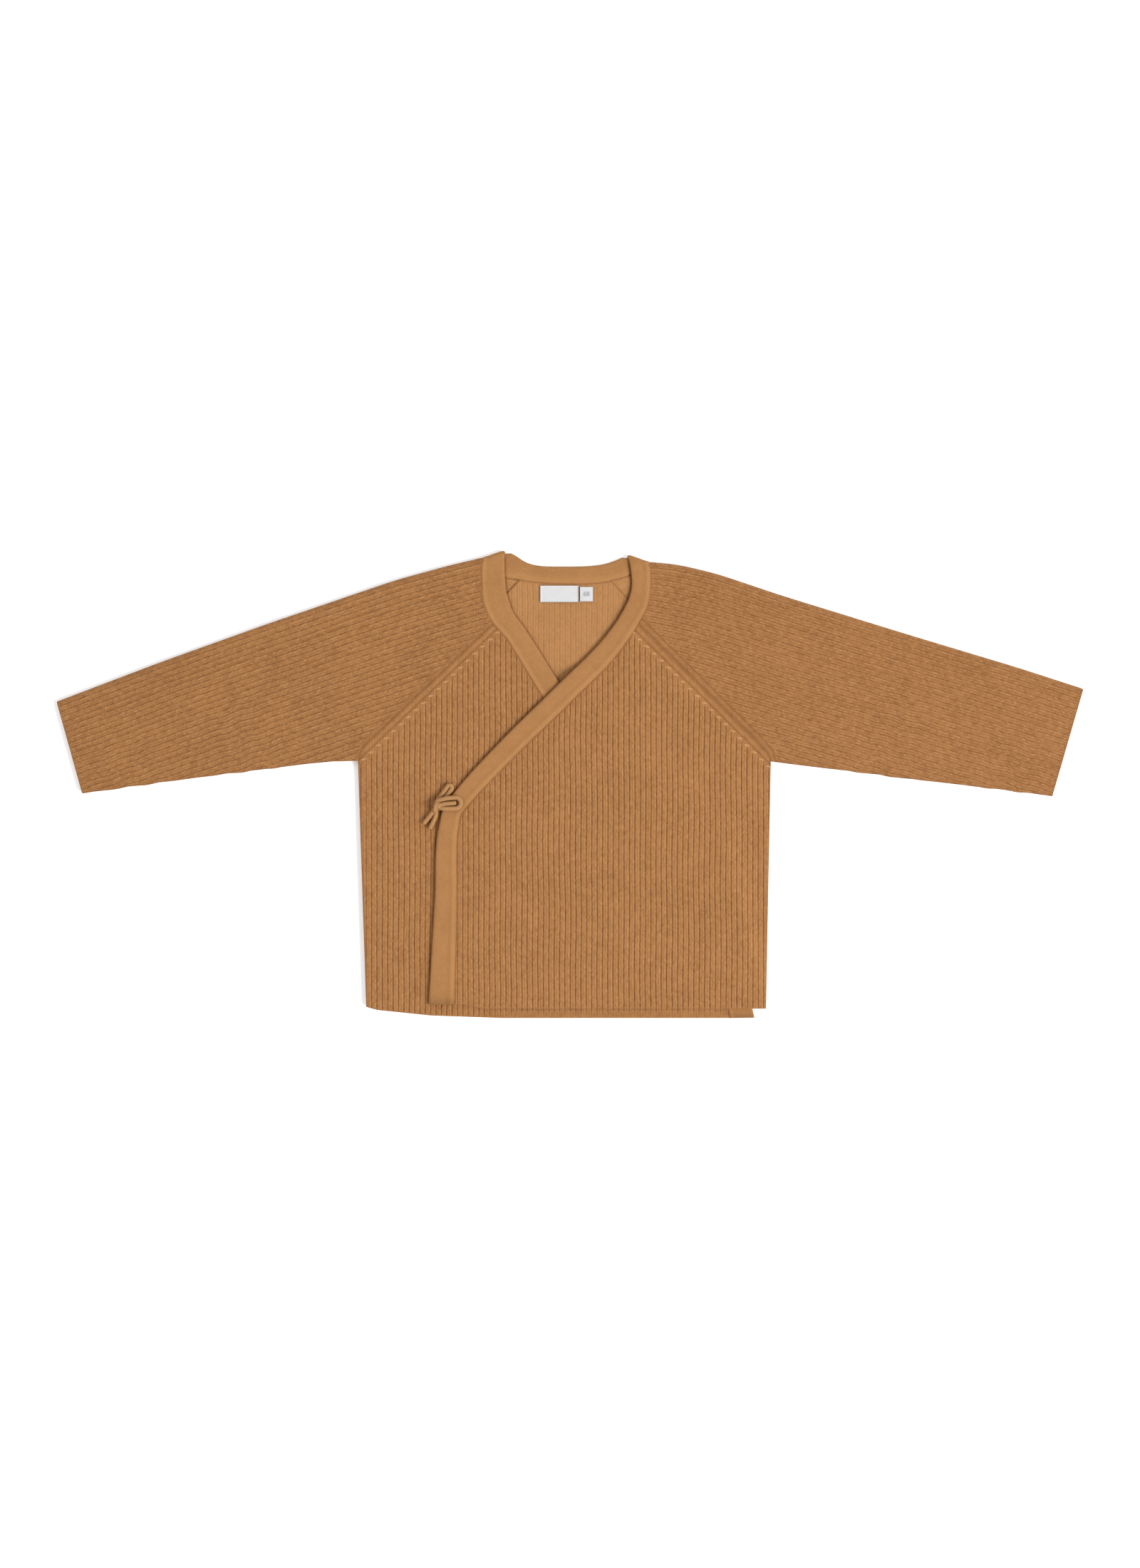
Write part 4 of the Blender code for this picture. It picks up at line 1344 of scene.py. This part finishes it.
@dataclass
class SleeveCut(RibbedCut):
    """The cut of a sleeve that is folded along its top."""

    fold: SleeveFold | None = None
    raglan: np.ndarray | None = None
    strip: Point = (1.2, 2.4)
    groove: float | None = None
    edge_round: float = 0.8
    edge_depth: float = 0.85
    under_shade: float | None = -0.3
    valley: float = 1.32
    swell: float = 0.6
    wander: float = 0.4
    ripple: float = 0.5
    ripple_waves: Point = (3.3, 13.0)
    ripple_from: Point = (24.0, 52.0)
    ripple_start: float = 22.0
    under_ribs: Point = (-9.0, -4.0)

    def __post_init__(self) -> None:
        """Rule the hidden half coarsely."""
        self.plain_below = self.under_ribs[0] - self.fold.half_turn
        self.ruling = Ruling(under_columns=4)

    def from_raglan(self, spots: Spots) -> np.ndarray:
        """Return how far each spot of the upper half is from the raglan."""
        return np.where(spots.across > 0.0, nearest(spots.flat, self.raglan)[0], FAR)

    def beside(self, spots: Spots) -> np.ndarray:
        """Return the distance that puts the painted groove shade in its place and leaves out the stitches."""
        if self.groove is None:
            return super().beside(spots)
        away = self.from_raglan(spots) - self.groove
        return np.maximum(away + STRIP_GROOVE, 2.2) + 50.0 * np.maximum(away - 1.1, 0.0)

    def thickness(self, spots: Spots) -> tuple[np.ndarray, np.ndarray]:
        """Return how thick the sleeve is at each spot, and how ribbed."""
        shift = self.fold.half_turn % RIB_PITCH
        ribs = self.valley + (CREST - self.valley) * rib_profile(spots.across - shift)
        ribbed = smooth_step(spots.inset, *RIBS_START) * smooth_step(self.from_raglan(spots), *self.strip)
        ribbed = ribbed * smooth_step(spots.across + self.fold.half_turn, *self.under_ribs)
        ease = smooth_step(spots.inset, 2.0, 18.0) * smooth_step(spots.across, 4.0, 24.0)
        return CREST + (ribs - CREST) * ribbed + self.swell * self.rise(spots, 70.0) * ease, ribbed

    def rippled(self, spots: Spots) -> np.ndarray:
        """Return the places around the arm, with small waves towards the lower edge."""
        short, long = self.ripple_waves
        wave = np.sin(spots.along / short + self.seed) * (0.55 + 0.45 * np.sin(spots.along / long))
        wave = wave * smooth_step(spots.along - self.raglan[-1, 1], 0.0, self.ripple_start)
        low = np.sign(spots.across) * smooth_step(np.abs(spots.across), *self.ripple_from)
        return spots.across + self.ripple * wave * low

    def lay(self, spots: Spots, deep: np.ndarray, outer: bool) -> np.ndarray:
        """Return where the spots lie round the fold, with the outer ribs a little uneven."""
        around = self.rippled(spots)
        if outer:
            ease = smooth_step(spots.inset, *WANDER_START) * smooth_step(spots.across, 2.0, 16.0)
            around = around + self.wander * ease * waver(spots.across, spots.along, 80.0, self.seed)
        return self.fold.place(around, spots.along, SLEEVE_FOLD_IN + deep)


@dataclass(frozen=True)
class Sleeve:
    """A raglan sleeve's own corners, and what sets it apart from the other one."""

    node: str
    cuff_top: Point
    cuff_low: Point
    armpit: Point
    underarm: Sequence[Point]
    raglan: Sequence[Point]
    rise: Ramp
    seed: float
    shade: float
    strip: Point
    groove: float | None = None
    raglan_step: float = 7.0

    def edges(self, fold: SleeveFold, side: float, neck: Points) -> list[Points]:
        """Return the neck edge, the raglan and the underarm edge of one half of the cut.

        Args:
            fold: The sleeve's fold.
            side: 1 for the upper half, -1 for the one beneath.
            neck: The neck edge in the garment, from the fold.

        Returns:
            The three edges on the flat cut.
        """
        raglan = fill_line([neck[-1], *reversed(self.raglan), self.armpit], self.raglan_step)
        arm = [self.armpit, *self.underarm, self.cuff_low]
        edges = [[fold.to_sheet(point, side) for point in line] for line in (neck, raglan, arm)]
        edges[0][0] = (0.0, 0.0)
        return edges

    def build(
        self, lines: CutLines, front_neck: Points, back_neck: Points, material: bpy.types.Material,
    ) -> None:
        """Args:
            lines: The band's lines.
            front_neck: The front half's neck edge, from the fold.
            back_neck: The back half's.
            material: The sleeve's finish.
        """
        fold = SleeveFold(front_neck[0], self.cuff_top, self.armpit, self.rise)
        neck, raglan, arm = self.edges(fold, 1.0, front_neck)
        low_neck, low_raglan, low_arm = self.edges(fold, -1.0, back_neck)
        outline = shrink([
            (neck, TUCK), (raglan, RAGLAN_TUCK), (arm, 0.0),
            ([arm[-1], (0.0, fold.length), low_arm[-1]], 0.0),
            (low_arm[::-1], 0.0), (low_raglan[::-1], RAGLAN_TUCK), (low_neck[::-1], TUCK),
        ])
        cut = SleeveCut(
            self.node + "_cloth", outline, self.seed, shade=self.shade, fold=fold, raglan=np.array(raglan),
            strip=self.strip, groove=self.groove, cover=lambda points: lines.cover(points, below=LAYER[1]),
        )
        lay_sheet(cut, material, self.node)


# Each sleeve's shade is painted shade, which makes it darker than the fronts.
RIGHT_SLEEVE = Sleeve(
    "right_sleeve", (-334.9, 53.8), (-318.2, -6.1), ARMPIT_RIGHT, ((-160.0, 14.6), (-230.0, 5.8)),
    RAGLAN_RIGHT, ((0.0, 0.0), (0.08, 2.2), (0.2, 4.2), (0.5, 4.0), (0.75, 2.7), (1.0, 0.0)),
    seed=6.0, shade=0.19, strip=(1.2, 2.4),
)
LEFT_SLEEVE = Sleeve(
    "left_sleeve", (334.9, 62.1), (314.6, -7.9), ARMPIT_LEFT, ((223.0, 3.2),), RAGLAN_LEFT,
    ((0.0, 0.0), (0.06, 3.6), (0.15, 5.0), (0.3, 3.2), (0.6, 1.9), (0.85, 1.3), (1.0, 0.0)),
    seed=7.0, shade=0.2, strip=(3.0, 4.2), groove=3.2,
)


@dataclass
class FrontBand:
    """One continuous band: up the right front, round the neck and down the left front."""

    lines: CutLines
    material: bpy.types.Material
    fold_steps: int = 12
    ridge: float = 1.9
    painted_ridge_highlight: float = 0.3
    groove: float = 4.4
    painted_groove_shade: float = 0.09
    soft: float = 1.1
    mottle: float = 0.05
    outer_shape: Ramp = (
        (0.0, 0.0), (0.012, 0.42), (0.035, 0.68), (0.075, 0.87), (0.14, 0.96), (0.25, 1.0), (0.4, 1.0),
        (0.52, 0.98), (0.61, 0.94), (0.67, 0.88), (0.73, 0.92), (0.79, 1.0), (0.86, 1.04), (0.92, 1.0),
        (0.96, 0.9), (0.985, 0.76), (1.0, 0.5),
    )
    inner_shape: Ramp = (
        (1.0, 0.0), (0.97, 0.7), (0.88, 0.98), (0.5, 1.0), (0.12, 0.98), (0.03, 0.7),
    )

    def ring(self) -> list[tuple[float, float]]:
        """Return the cross-section as shares across the band and millimetres of height."""
        half = 0.5 * BAND_THICK
        outer = [(u, half + half * h) for u, h in self.outer_shape]
        inner = [(u, half - half * h) for u, h in self.inner_shape]
        return outer + inner

    def flat_station(self, row: Sequence[float], face: Face, over: bool) -> np.ndarray:
        """Return one cross-section where the band lies flat.

        Args:
            row: The band's row there.
            face: Which way its right side looks.
            over: Whether it lies on the other front.

        Returns:
            The points of the cross-section.
        """
        free, seam = np.array(row[:2]), np.array(row[2:])
        ring = np.array(self.ring())
        flat = free + ring[:, :1] * (seam - free)
        if over:
            base = over_base(flat)
        else:
            base = np.full(len(flat), LAYER[1] if face is Face.UP else LAYER[0])
        height = ring[:, 1] if face is Face.UP else BAND_THICK - ring[:, 1]
        return np.column_stack([flat, base + height])

    def fold_stations(self, row: Sequence[float], going_down: bool) -> list[np.ndarray]:
        """Return the cross-sections that turn the band over the neck's edge."""
        free, seam, down = (np.array(v) for v in fold_axes(row))
        ring = np.array(self.ring())
        radius = BAND_FOLD_IN + ring[:, 1]
        outer = BAND_FOLD_IN + BAND_THICK
        stations = []
        for k in range(self.fold_steps + 1):
            turn = math.pi * (0.5 - k / self.fold_steps)
            edge = free + ring[:, :1] * (seam - free)
            spot = edge + (outer - radius * math.cos(turn))[:, None] * down
            stations.append(np.column_stack([spot, outer + radius * math.sin(turn)]))
        return stations if going_down else stations[::-1]

    def build(self) -> None:
        stations = [self.flat_station(row, Face.UP, False) for row in self.lines.under[:-1]]
        stations += self.fold_stations(self.lines.under[-1], True)
        stations += [self.flat_station(row, Face.DOWN, False) for row in self.lines.neck[1:-1]]
        stations += self.fold_stations(self.lines.neck[-1], False)
        stations += [self.flat_station(row, Face.UP, True) for row in self.lines.over[1:]]
        grid = np.array(stations)
        ring = np.array(self.ring())
        count, size = len(stations), len(ring)
        middle = grid.mean(axis=1)
        along = np.concatenate([[0.0], np.cumsum(np.linalg.norm(np.diff(middle, axis=0), axis=1))])
        widths = np.linalg.norm(grid[:, 0] - grid[:, len(self.outer_shape) - 1], axis=1)
        index = np.arange(count * size).reshape(count, size)
        index = np.column_stack([index, index[:, 0]])
        faces = grid_faces(index, True)
        faces.append(tuple(int(v) for v in index[0, :-1]))
        faces.append(tuple(int(v) for v in index[-1, :-1][::-1]))
        across = ring[None, :, 0] * widths[:, None]
        knit = np.stack([across, np.repeat(along[:, None], size, axis=1), np.zeros_like(across)], axis=2)
        inset = (1.0 - ring[None, :, 0]) * widths[:, None]
        # A random mottle of the yarn, painted shade in the groove and a painted highlight on the ridge beside
        # the seam.
        darker = self.mottle * (1.0 + waver(grid[:, :, 0], grid[:, :, 1], 70.0, 4.0))
        darker += self.painted_groove_shade * np.exp(-((inset - self.groove) / self.soft) ** 2)
        darker -= self.painted_ridge_highlight * np.exp(-((inset - self.ridge) / self.soft) ** 2)
        tone = np.stack([inset, darker, np.full_like(inset, FAR)], axis=2)
        cover = np.full(grid.shape, FAR)
        under, neck = len(self.lines.under) - 1, len(self.lines.neck) - 2
        first_neck = under + self.fold_steps + 1
        for start, stop, by_under in ((0, under, False), (first_neck, first_neck + neck, True)):
            part = grid[start:stop]
            cover[start:stop] = self.lines.cover(part.reshape(-1, 3), by_under).reshape(part.shape)
        piece = new_object(
            "front_band_cloth", grid.reshape(-1, 3), faces, knit.reshape(-1, 3), tone.reshape(-1, 3),
            cover.reshape(-1, 3),
        )
        finish_piece(piece, self.material, Slot.BAND_KNIT, "front_band")


@dataclass
class NeckLabels:
    """The bare woven label and its size tab, hung from the seam at the back of the neck."""

    tape: bpy.types.Material
    ink: bpy.types.Material
    top: float = 129.4
    main_span: Point = (-19.3, 5.6)
    main_drop: float = 10.8
    size_span: Point = (6.6, 15.0)
    size_drop: float = 9.6
    low: float = 2.5
    thick: float = 0.45
    number: str = "68"
    number_height: float = 3.1
    number_thick: float = 0.03
    number_lift: float = 0.42
    size_top: float = 128.6
    columns: int = 25
    rows: int = 15
    bow: float = 0.3
    curl: float = 0.25
    corner_dip: float = 0.025
    hem_dip: float = 0.12
    hem_width: float = 0.03
    hems: Point = (0.93, 0.06)

    def tab(self, name: str, span: Point, top: float, drop: float) -> bpy.types.Object:
        """Return one label, a thin tape a little bowed from side to side."""
        shares = (np.linspace(0.0, 1.0, count) for count in (self.columns, self.rows))
        across, along = (values.ravel() for values in np.meshgrid(*shares, indexing="ij"))
        corner = (np.abs(2 * across - 1) > 0.97) & (np.abs(2 * along - 1) > 0.97)
        x = span[0] + (span[1] - span[0]) * across
        y = top - drop * along
        bow = self.bow * np.sin(math.pi * across) * along + self.curl * along ** 2
        hem = self.hem_dip * sum(np.exp(-((along - place) / self.hem_width) ** 2) for place in self.hems)
        low = self.low + bow - self.corner_dip * corner
        top_face = np.column_stack([x, y, low + self.thick - hem])
        low_face = np.column_stack([x, y, low])
        index = np.arange(len(x)).reshape(self.columns, self.rows)
        below = index + len(x)
        faces = grid_faces(index, True) + grid_faces(below, False)
        for edge, under, flip in (
            (index[:, 0], below[:, 0], True), (index[:, -1], below[:, -1], False),
            (index[0], below[0], False), (index[-1], below[-1], True),
        ):
            for a, b, c, d in zip(edge, edge[1:], under[1:], under):
                face = (int(a), int(b), int(c), int(d))
                faces.append(face[::-1] if flip else face)
        return new_object(name, np.vstack([top_face, low_face]), faces)

    def number_piece(self) -> bpy.types.Object:
        """Return the size number, raised a hair on its tab."""
        text = bpy.data.curves.new("size_number", "FONT")
        text.body = self.number
        text.size = self.number_height * 1.35 * MM
        text.align_x = "CENTER"
        text.align_y = "CENTER"
        text.extrude = self.number_thick * MM
        shape = bpy.data.objects.new("size_number_text", text)
        bpy.context.scene.collection.objects.link(shape)
        bpy.context.view_layer.update()
        mesh = bpy.data.meshes.new_from_object(shape.evaluated_get(bpy.context.evaluated_depsgraph_get()))
        bpy.data.objects.remove(shape)
        piece = bpy.data.objects.new("size_number", mesh)
        bpy.context.scene.collection.objects.link(piece)
        across = 0.5 * (self.size_span[0] + self.size_span[1])
        along = self.size_top - 0.5 * self.size_drop
        piece.location = Vector((across, along, self.low + self.thick + self.number_lift)) * MM
        mesh.materials.clear()
        return piece

    def build(self) -> None:
        """Build and dress both labels and the number."""
        main_label = self.tab("neck_label", self.main_span, self.top, self.main_drop)
        finish_piece(main_label, self.tape, Slot.LABEL_TAPE, "label_main")
        size_tab = self.tab("size_tab", self.size_span, self.size_top, self.size_drop)
        finish_piece(size_tab, self.tape, Slot.LABEL_TAPE, "label_size")
        finish_piece(self.number_piece(), self.ink, Slot.LABEL_TAPE)


@dataclass(frozen=True)
class Loop:
    """One loop of the bow: where it leaves the knot, its direction, length and half width."""

    base: Point
    angle: float
    reach: float
    near: float
    half: float


@dataclass
class TieBow:
    """The two tie cords of the front's corner, tied in a bow."""

    material: bpy.types.Material
    cord: float = 2.9
    knot: tuple[float, float, float] = (-87.0, -15.0, 8.6)
    knot_size: tuple[float, float, float] = (3.0, 2.5, 1.9)
    knot_turns: float = 1.6
    knot_start: float = -0.65
    knot_steps: int = 22
    wrap_angle: float = math.radians(66.0)
    upper: Loop = Loop((-87.0, -14.6), math.radians(55.0), 16.4, 1.3, 1.6)
    side: Loop = Loop((-87.2, -13.2), math.radians(4.0), 16.2, 2.0, 3.5)
    lead: Sequence[Point] = ((-73.8, -12.3), (-77.5, -12.6), (-81.4, -12.9), (-85.2, -13.6), (-87.0, -12.7))
    side_rise: float = 0.35
    loop_start: float = 0.8
    steps: int = 6
    long_tail: Sequence[Point] = ((-89.9, -18.9), (-92.0, -21.7), (-94.0, -24.1), (-95.6, -26.1))
    short_tail: Sequence[Point] = ((-87.3, -19.6), (-88.4, -23.1), (-90.0, -26.4), (-91.6, -29.4))
    sides: int = 16
    ring_step: float = 0.45
    end_round: float = 1.2

    def loop_route(self, loop: Loop, height: float) -> list[tuple[float, float, float]]:
        """Return a bow loop's centre line: out of the knot, round its tip and back.

        Args:
            loop: The loop.
            height: Height of its centre line outside the knot.

        Returns:
            The points of the centre line, in millimetres.
        """
        out = Vector((math.cos(loop.angle), math.sin(loop.angle)))
        side = Vector((-out.y, out.x))
        run = loop.reach - loop.half - self.loop_start
        shares = [k / self.steps for k in range(self.steps)]
        straight = []
        for t in shares:
            wide = loop.near + (loop.half - loop.near) * (1.0 - (1.0 - t) ** 3)
            level = self.knot[2] + (height - self.knot[2]) * min(2.5 * t, 1.0)
            straight.append((self.loop_start + run * t, wide, level))
        turns = [math.pi * k / (2 * self.steps) for k in range(2 * self.steps + 1)]
        tip = [(loop.reach + loop.half * (math.sin(a) - 1.0), loop.half * math.cos(a), height) for a in turns]
        back = [(along, -wide, level) for along, wide, level in reversed(straight)]
        route = []
        for along, wide, level in straight + tip + back:
            spot = Vector(loop.base) + out * along + side * wide
            route.append((spot.x, spot.y, level))
        return route

    def tube(self, name: str, route: Sequence[Sequence[float]]) -> tuple[bpy.types.Object, np.ndarray]:
        """Return a round knitted cord along a route, and the centre line that it follows."""
        fine = np.array(smooth_rows(route, 6))
        steps = np.linalg.norm(np.diff(fine, axis=0), axis=1)
        fine = fine[np.concatenate([[True], steps > 1e-6])]
        along = np.concatenate([[0.0], np.cumsum(np.linalg.norm(np.diff(fine, axis=0), axis=1))])
        at = np.linspace(0.0, along[-1], max(int(along[-1] / self.ring_step), 8))
        line = np.stack([np.interp(at, along, fine[:, k]) for k in range(3)], axis=1)
        tangent = np.gradient(line, axis=0)
        tangent /= np.linalg.norm(tangent, axis=1)[:, None]
        side = np.cross(tangent, np.array((0.0, 0.0, 1.0)))
        side /= np.linalg.norm(side, axis=1)[:, None]
        up = np.cross(side, tangent)
        ends = np.minimum(at, at[-1] - at)
        taper = np.sqrt(np.clip(1.0 - (1.0 - np.clip(ends / self.end_round, 0.0, 1.0)) ** 2, 0.02, 1.0))
        radius = 0.5 * self.cord * taper
        turns = np.linspace(0.0, 2.0 * math.pi, self.sides, endpoint=False)
        ring = side[:, None, :] * np.cos(turns)[None, :, None] + up[:, None, :] * np.sin(turns)[None, :, None]
        points = line[:, None, :] + ring * radius[:, None, None]
        count = len(line)
        index = np.arange(count * self.sides).reshape(count, self.sides)
        index = np.column_stack([index, index[:, 0]])
        faces = grid_faces(index, False)
        faces.append(tuple(int(v) for v in index[0, :-1][::-1]))
        faces.append(tuple(int(v) for v in index[-1, :-1]))
        across = np.repeat((turns * 0.5 * self.cord)[None, :], count, axis=0)
        knit = np.stack([across, np.repeat(at[:, None], self.sides, axis=1), np.zeros_like(across)], axis=2)
        tone = np.broadcast_to(np.array((FAR, 0.0, FAR)), knit.shape)
        piece = new_object(name, points.reshape(-1, 3), faces, knit.reshape(-1, 3), tone.reshape(-1, 3))
        return piece, line

    def build_knot(self) -> bpy.types.Object:
        """Return the knot, where one cord wraps the other."""
        across = Vector((math.cos(self.wrap_angle), math.sin(self.wrap_angle), 0.0))
        axis = Vector((across.y, -across.x, 0.0))
        lift = Vector((0.0, 0.0, 1.0))
        length, wide, high = self.knot_size
        route = []
        for k in range(self.knot_steps + 1):
            share = k / self.knot_steps
            angle = math.pi * (2.0 * self.knot_turns * share + self.knot_start)
            swing = across * wide * math.cos(angle) + lift * high * math.sin(angle)
            route.append(tuple(Vector(self.knot) + axis * (share - 0.5) * length + swing))
        piece, _ = self.tube("tie_knot_cord", route)
        return piece

    def build(self) -> None:
        rest_low = LAYER[1] + CREST + CORD_GAP + 0.5 * self.cord
        rest_high = LAYER[2] + BAND_THICK + CORD_GAP + 0.5 * self.cord
        knot = self.build_knot()
        finish_piece(knot, self.material, Slot.TIE_CORD, "tie_knot")
        upper = ((), self.upper, rest_low, self.long_tail)
        side = (self.lead, self.side, rest_high + self.side_rise, self.short_tail)
        for name, (lead, shape, height, tail), held, nodes in (
            ("upper_tie", upper, [knot], ("tie_loop_upper", "tie_tail_long")),
            ("side_tie", side, [], ("tie_loop_side", "tie_tail_short")),
        ):
            levels = np.interp(range(len(lead)), (0, 2, 4), (rest_high, rest_high, self.knot[2]))
            loop = [(x, y, float(z)) for (x, y), z in zip(lead, levels)] + self.loop_route(shape, height)
            end = [(x, y, rest_low) for x, y in tail]
            inside = (self.knot[0], self.knot[1], 0.5 * (height + rest_low))
            piece, line = self.tube(name, loop + [inside] + end)
            finish_piece(piece, self.material, Slot.TIE_CORD, *nodes)
            path = line * MM
            length = float(np.linalg.norm(np.diff(path, axis=0), axis=1).sum())
            tuple(path[0])
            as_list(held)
            log.info("%s is %.0f mm long", name, 1000 * length)


# Studio


@dataclass
class Studio:
    """The floor, the lights and the camera straight above the garment."""

    floor_size: float = 12.0
    floor_drop: float = 0.05 * MM
    lens: float = 85.0
    view_long: float = 2200 * 0.4655 * MM
    sensor: float = 36.0
    key_place: tuple[float, float, float] = (2.7, -1.3, 2.9)
    key_size: float = 1.8
    key_power: float = 176.0
    fill_place: tuple[float, float, float] = (-1.7, 1.3, 2.2)
    fill_size: float = 2.2
    fill_power: float = 18.0
    sky: float = 0.62

    def light(self, name: str, place: tuple[float, float, float], size: float, power: float) -> None:
        """Add a square area light that faces the garment."""
        data = bpy.data.lights.new(name, "AREA")
        data.size = size
        data.energy = power
        lamp = bpy.data.objects.new(name, data)
        lamp.location = place
        lamp.rotation_euler = (-Vector(place)).to_track_quat("-Z", "Y").to_euler()
        bpy.context.scene.collection.objects.link(lamp)

    def build(self) -> None:
        """Build the floor, the lights, the sky and the camera."""
        half = 0.5 * self.floor_size
        corners = [(x * half, y * half, 0.0) for x, y in ((-1, -1), (1, -1), (1, 1), (-1, 1))]
        mesh = bpy.data.meshes.new("floor")
        mesh.from_pydata(corners, [], [(0, 1, 2, 3)])
        mesh.materials.append(FLOOR_FINISH.build())
        floor = bpy.data.objects.new("floor", mesh)
        floor.location.z = -self.floor_drop
        bpy.context.scene.collection.objects.link(floor)
        self.light("key", self.key_place, self.key_size, self.key_power)
        self.light("fill", self.fill_place, self.fill_size, self.fill_power)
        world = bpy.data.worlds.new("studio")
        world.use_nodes = True
        world.node_tree.nodes["Background"].inputs["Color"].default_value = (1.0, 1.0, 1.0, 1.0)
        world.node_tree.nodes["Background"].inputs["Strength"].default_value = self.sky
        bpy.context.scene.world = world
        data = bpy.data.cameras.new("above")
        data.lens = self.lens
        data.sensor_width = self.sensor
        camera = bpy.data.objects.new("above", data)
        camera.location = (0.0, 0.0, self.lens / self.sensor * self.view_long)
        bpy.context.scene.collection.objects.link(camera)
        bpy.context.scene.camera = camera
        bpy.context.scene.view_settings.view_transform = "Standard"


def main() -> None:
    """Build the whole cardigan, its finishes and its studio."""
    logging.basicConfig(level=logging.INFO, format="%(message)s")
    for old in list(bpy.data.objects):
        bpy.data.objects.remove(old, do_unlink=True)
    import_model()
    Studio().build()
    lines = CutLines()
    knits = knit_materials()
    rib = knits[Slot.RIB_KNIT]
    Body(lines, rib).build()
    front = split_seam(lines.under_seam, UNDER_RAGLAN_ROW)[1][::-1]
    back, _ = split_seam(lines.neck_seam, BACK_RAGLAN_ROWS[0])
    RIGHT_SLEEVE.build(lines, front, back, rib)
    front, _ = split_seam(lines.over_seam, OVER_RAGLAN_ROW)
    back = split_seam(lines.neck_seam, BACK_RAGLAN_ROWS[1])[1][::-1]
    LEFT_SLEEVE.build(lines, front, back, rib)
    FrontBand(lines, knits[Slot.BAND_KNIT]).build()
    NeckLabels(TAPE_FINISH.build(), INK_FINISH.build()).build()
    TieBow(knits[Slot.TIE_CORD]).build()


if __name__ == "__main__":
    main()
